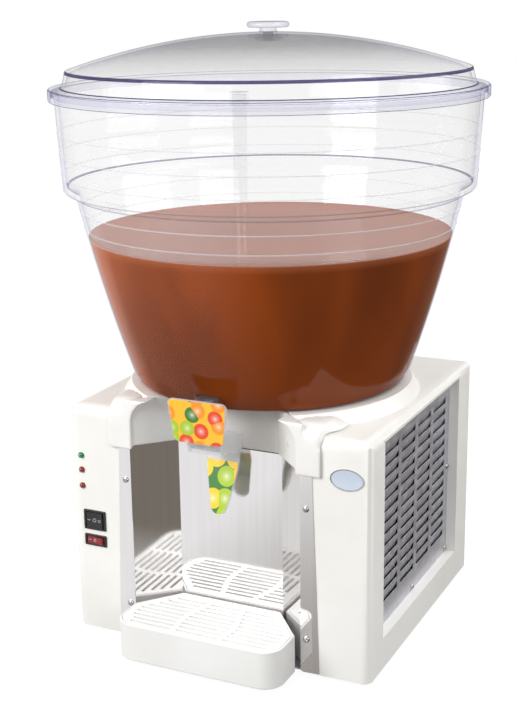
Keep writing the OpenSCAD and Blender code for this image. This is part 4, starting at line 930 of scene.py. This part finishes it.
def louvre_panel(name, node, hand):
    shape = slotted_sheet()
    for y in SLOT_Y:
        for z in SLOT_TOP:
            first = len(shape.verts)
            shape.from_mesh(blade)
            shape.verts.ensure_lookup_table()
            bmesh.ops.translate(shape, vec=(0, y * MM, z * MM), verts=shape.verts[first:])
    bmesh.ops.scale(shape, vec=(hand, 1, 1), verts=shape.verts)
    bmesh.ops.recalc_face_normals(shape, faces=shape.faces)
    return make_piece(name, shape, galvanised, "base", [node])


louvre_panel("right_louvres", "right_louvre_panel", 1)
louvre_panel("left_louvres", "left_louvre_panel", -1)

# %% [markdown]
# Prints on the lever
#
# The lever's shield and its tongue carry a bright printed film. A plain pattern of coloured drops suits it:
# a flat cell texture gives each drop its colour and its round edge. It is laid on x and z, so that the
# pattern faces forward on the film, which is a thin plate just in front of the plastic.

# %% Printed film
PIVOT = Vector((0, -193, 293))


def drop_print(name, scale, ground, *tones):
    """A printed film: round drops in some tones, each with a bright spot, on a plain ground."""
    finish, tree = new_finish(name)
    shader = add(tree, "BsdfPrincipled", Roughness=0.22, Coat_Weight=0.3)
    place = add(tree, "TexCoord")
    flat = add(tree, "Mapping", Rotation=(-math.pi / 2, 0, 0))
    drops = add(tree, "TexVoronoi", Scale=scale, Randomness=0.7)
    drops.voronoi_dimensions = "2D"
    join(tree, place, "Object", flat, "Vector")
    join(tree, flat, "Vector", drops, "Vector")
    pick = add(tree, "SeparateColor")
    join(tree, drops, "Color", pick, "Color")
    palette = colours(tree, pick, "Red", *[(i / len(tones), tone) for i, tone in enumerate(tones)])
    palette.color_ramp.interpolation = "CONSTANT"
    shine = colours(tree, drops, "Distance", (0.0, grey(0.7)), (0.12, grey(0.25)), (0.3, grey(0)))
    lit = add(tree, "MixRGB")
    lit.inputs["Color2"].default_value = paint(255, 250, 226)
    join(tree, shine, "Color", lit, "Fac")
    join(tree, palette, "Color", lit, "Color1")
    edge_of_drop = colours(tree, drops, "Distance", (0.47, grey(0)), (0.5, grey(1)))
    film = add(tree, "MixRGB")
    film.inputs["Color2"].default_value = ground
    join(tree, edge_of_drop, "Color", film, "Fac")
    join(tree, lit, "Color", film, "Color1")
    join(tree, film, "Color", shader, "Base Color")
    specks = texture(tree, "TexNoise", Scale=900, Detail=2)
    bump(tree, specks, "Fac", shader, 0.05, 0.0001)
    finish_output(tree, shader)
    return finish


YELLOW, ORANGE, RED = paint(250, 206, 30), paint(246, 148, 24), paint(232, 72, 36)
LIME, LEAF = paint(170, 200, 40), paint(58, 124, 44)
shield_print = drop_print("shield_print", 50, paint(252, 190, 40), ORANGE, RED, LIME, ORANGE, YELLOW, LEAF)
tongue_print = drop_print("tongue_print", 40, LEAF, YELLOW, LIME, YELLOW)
FILM, LEVER_WALL = 0.3, 3


def on_lever(offset, lean):
    """The front of a lever wall that starts at an offset from the pin and leans by degrees."""
    start = Matrix.Translation((PIVOT + Vector(offset)) * MM) @ Matrix.Rotation(math.radians(lean), 4, "X")
    return start @ Matrix.Translation((0, 0, LEVER_WALL * MM))


shield_corners = [(-31.4, 0.6), (31.4, 0.6), (37.4, 52.4), (-37.4, 52.4)]
shield_film = plate(shield_corners, 7, FILM, on_lever((0, -5.4, -5), 94))
make_piece("shield_film", shield_film, shield_print, "tap_lever")
TIP_R = 10.4
tongue_corners = arc((0, 11), TIP_R, 190, 350, 10) + [(20.3, 58), (20.4, 66), (-20.4, 66), (-20.3, 58)]
tongue_film = plate(tongue_corners, 0.4, FILM, on_lever((0, 38, -109), 75), 2)
make_piece("tongue_film", tongue_film, tongue_print, "tap_lever")

# %% [markdown]
# Marks on the switches
#
# The rockers carry small pale marks: a dash, a ring and a double dash. Each mark is a thin plate on the
# face of its rocker, turned with that face, and it rides on the rocker's body. The ring is turned on the
# lathe like the screws.

# %% Rocker marks
ROCKER_X, ROCKER_Y = -168, -165
FACE_HALF, FACE_DROP, HOLLOW = 12.6, 1.5, 5
FACE_SLOPE = math.atan2(FACE_DROP, FACE_HALF)
MARK = 0.4
DASH = [(-7.5, 0, 4, 0.8)]
DOUBLE_DASH = [(7.5, 1, 4, 0.8), (7.5, -1, 4, 0.8)]


def rocker_marks(name, body, height, tilt, marks, ring_r):
    """Marks of (x, z, width, height) on the slopes of a rocker's face, and a ring in its hollow."""
    turn = Matrix.Translation((ROCKER_X * MM, ROCKER_Y * MM, height * MM)) @ Matrix.Rotation(tilt, 4, "Z")
    shape = bmesh.new()
    for x, z, width, tall in marks:
        slope = Matrix.Rotation(-math.copysign(FACE_SLOPE, x), 4, "Z")
        depth = -HOLLOW - FACE_DROP * abs(x) / FACE_HALF
        place = Matrix.Translation((x * MM, depth * MM, z * MM)) @ slope
        size = Matrix.Diagonal((width * MM, MARK * MM, tall * MM, 1))
        bmesh.ops.create_cube(shape, size=1, matrix=turn @ place @ size)
    inner, outer = ring_r - 0.35, ring_r + 0.35
    circle = turned([(inner, -0.3), (outer, -0.3), (outer, 0.3), (inner, 0.3)], 32)
    stand = Matrix.Translation((0, -5.1 * MM, 0)) @ Matrix.Rotation(math.pi / 2, 4, "X")
    bmesh.ops.transform(circle, matrix=turn @ stand, verts=circle.verts)
    ring_mesh = bpy.data.meshes.new("ring")
    circle.to_mesh(ring_mesh)
    circle.free()
    shape.from_mesh(ring_mesh)
    return make_piece(name, shape, mark_white, body)


rocker_marks("upper_rocker_marks", "upper_rocker", 154, 0, DASH + DOUBLE_DASH, 2.2)
rocker_marks("lower_rocker_marks", "lower_rocker", 127, math.radians(-8), DASH, 1.6)

# %% [markdown]
# The blank badge
#
# An oval plate sits high on the right pillar: a plain pale blue film with a raised silver border. Both come
# from one flat circle that is stretched, lifted and inset, and the four-sided faces get the silver finish.

# %% Badge
BADGE = Vector((171, -168, 258))
shape = bmesh.new()
bmesh.ops.create_circle(shape, cap_ends=True, segments=64, radius=0.5)
oval = Matrix.Translation(BADGE * MM) @ FACING["front"] @ Matrix.Diagonal((0.041, 0.026, 1, 1))
bmesh.ops.transform(shape, matrix=oval, verts=shape.verts)
grown = bmesh.ops.extrude_face_region(shape, geom=shape.faces[:])["geom"]
bmesh.ops.translate(shape, vec=(0, -0.0008, 0), verts=[g for g in grown if isinstance(g, bmesh.types.BMVert)])
front_face = min(shape.faces, key=lambda face: face.calc_center_median().y)
bmesh.ops.inset_region(shape, faces=[front_face], thickness=0.0014, depth=-0.0003)
bmesh.ops.recalc_face_normals(shape, faces=shape.faces)
badge = make_piece("badge_plate", shape, badge_blue, "base")
badge.data.materials.append(screw_steel)
for face in badge.data.polygons:
    face.material_index = 1 if len(face.vertices) == 4 else 0

# %% [markdown]
# Studio
#
# The floor is a plain white sheet that glows a little, so that no horizon shows. A large soft light on the
# left and two windows on the right give the bowl and the lid their highlights, and a light overhead
# brightens the deck. In reflections the room runs from grey at eye level to white overhead, and the floor
# is darker on the right, as if a grey card lay there: clear walls and bright steel need something dark to
# mirror, or they lose their form.

# %% Floor
shape = bmesh.new()
bmesh.ops.create_grid(shape, x_segments=1, y_segments=1, size=6)
floor_mesh = bpy.data.meshes.new("floor")
shape.to_mesh(floor_mesh)
shape.free()
floor = bpy.data.objects.new("floor", floor_mesh)
bpy.context.collection.objects.link(floor)
paper, tree = new_finish("floor_paper")
sheet = add(tree, "BsdfPrincipled", Roughness=0.9)
fibres = texture(tree, "TexNoise", Scale=600, Detail=2)
join(tree, colours(tree, fibres, "Fac", (0.3, grey(0.9)), (0.7, grey(0.94))), "Color", sheet, "Base Color")
place = add(tree, "TexCoord")
split = add(tree, "SeparateXYZ")
join(tree, place, "Object", split, "Vector")
across = add(tree, "MapRange", From_Min=-0.2, From_Max=0.22)
join(tree, split, "X", across, "Value")
card = add(tree, "Emission")
mirrored_floor = colours(tree, across, "Result", (0.0, grey(0.95)), (1.0, paint(126, 119, 110)))
join(tree, mirrored_floor, "Color", card, "Color")
path = add(tree, "LightPath")
glow = add(tree, "Emission", Color=grey(1.05))
join(tree, path, "Is Camera Ray", glow, "Strength")
bright = add(tree, "MixShader", Fac=0.9)
join(tree, sheet, "BSDF", bright, 1)
join(tree, glow, "Emission", bright, 2)
ground = add(tree, "MixShader")
join(tree, path, "Is Glossy Ray", ground, "Fac")
join(tree, bright, "Shader", ground, 1)
join(tree, card, "Emission", ground, 2)
finish_output(tree, ground, "Shader")
floor_mesh.materials.append(paper)
print("floor laid")

# %% Lights


def soft_light(name, place, target, width, height, power):
    light = bpy.data.lights.new(name, "AREA")
    light.shape = "RECTANGLE"
    light.size, light.size_y = width, height
    light.energy = power
    obj = bpy.data.objects.new(name, light)
    aim = (Vector(target) - Vector(place)).to_track_quat("-Z", "Y")
    obj.matrix_world = Matrix.Translation(place) @ aim.to_matrix().to_4x4()
    bpy.context.collection.objects.link(obj)


soft_light("key", (-1.3, -2.3, 1.5), (-0.1, 0, 0.35), 1.5, 1.7, 66)
soft_light("right window", (2.62, -1.45, 1.4), (0, 0, 0.69), 1.5, 1.1, 22)
soft_light("far window", (2.66, 1.4, 1.4), (0, 0, 0.69), 2.2, 1.1, 24)
soft_light("overhead", (0.9, 0.5, 1.9), (0.15, 0.05, 0.3), 1.1, 1.1, 9.5)
print("lights:", len(bpy.data.lights))

# %% Room
world = bpy.data.worlds.new("studio")
bpy.context.scene.world = world
world.use_nodes = True
tree = world.node_tree
tree.nodes.clear()
sky_place = add(tree, "TexCoord")
sky_split = add(tree, "SeparateXYZ")
join(tree, sky_place, "Generated", sky_split, "Vector")
sky = colours(tree, sky_split, "Z", (0.0, grey(0.5)), (0.25, grey(0.7)), (0.8, grey(1)))
mirrored_sky = add(tree, "Background", Strength=0.9)
join(tree, sky, "Color", mirrored_sky, "Color")
lit_sky = add(tree, "Background", Color=grey(1), Strength=0.7)
seen_sky = add(tree, "Background", Color=grey(1), Strength=1)
path = add(tree, "LightPath")
for_mirrors = add(tree, "MixShader")
join(tree, path, "Is Glossy Ray", for_mirrors, "Fac")
join(tree, lit_sky, "Background", for_mirrors, 1)
join(tree, mirrored_sky, "Background", for_mirrors, 2)
for_camera = add(tree, "MixShader")
join(tree, path, "Is Camera Ray", for_camera, "Fac")
join(tree, for_mirrors, "Shader", for_camera, 1)
join(tree, seen_sky, "Background", for_camera, 2)
join(tree, for_camera, "Shader", add(tree, "OutputWorld"), "Surface")
bpy.context.scene.view_settings.view_transform = "Standard"
bpy.context.scene.cycles.transparent_max_bounces = 32
print("studio ready")
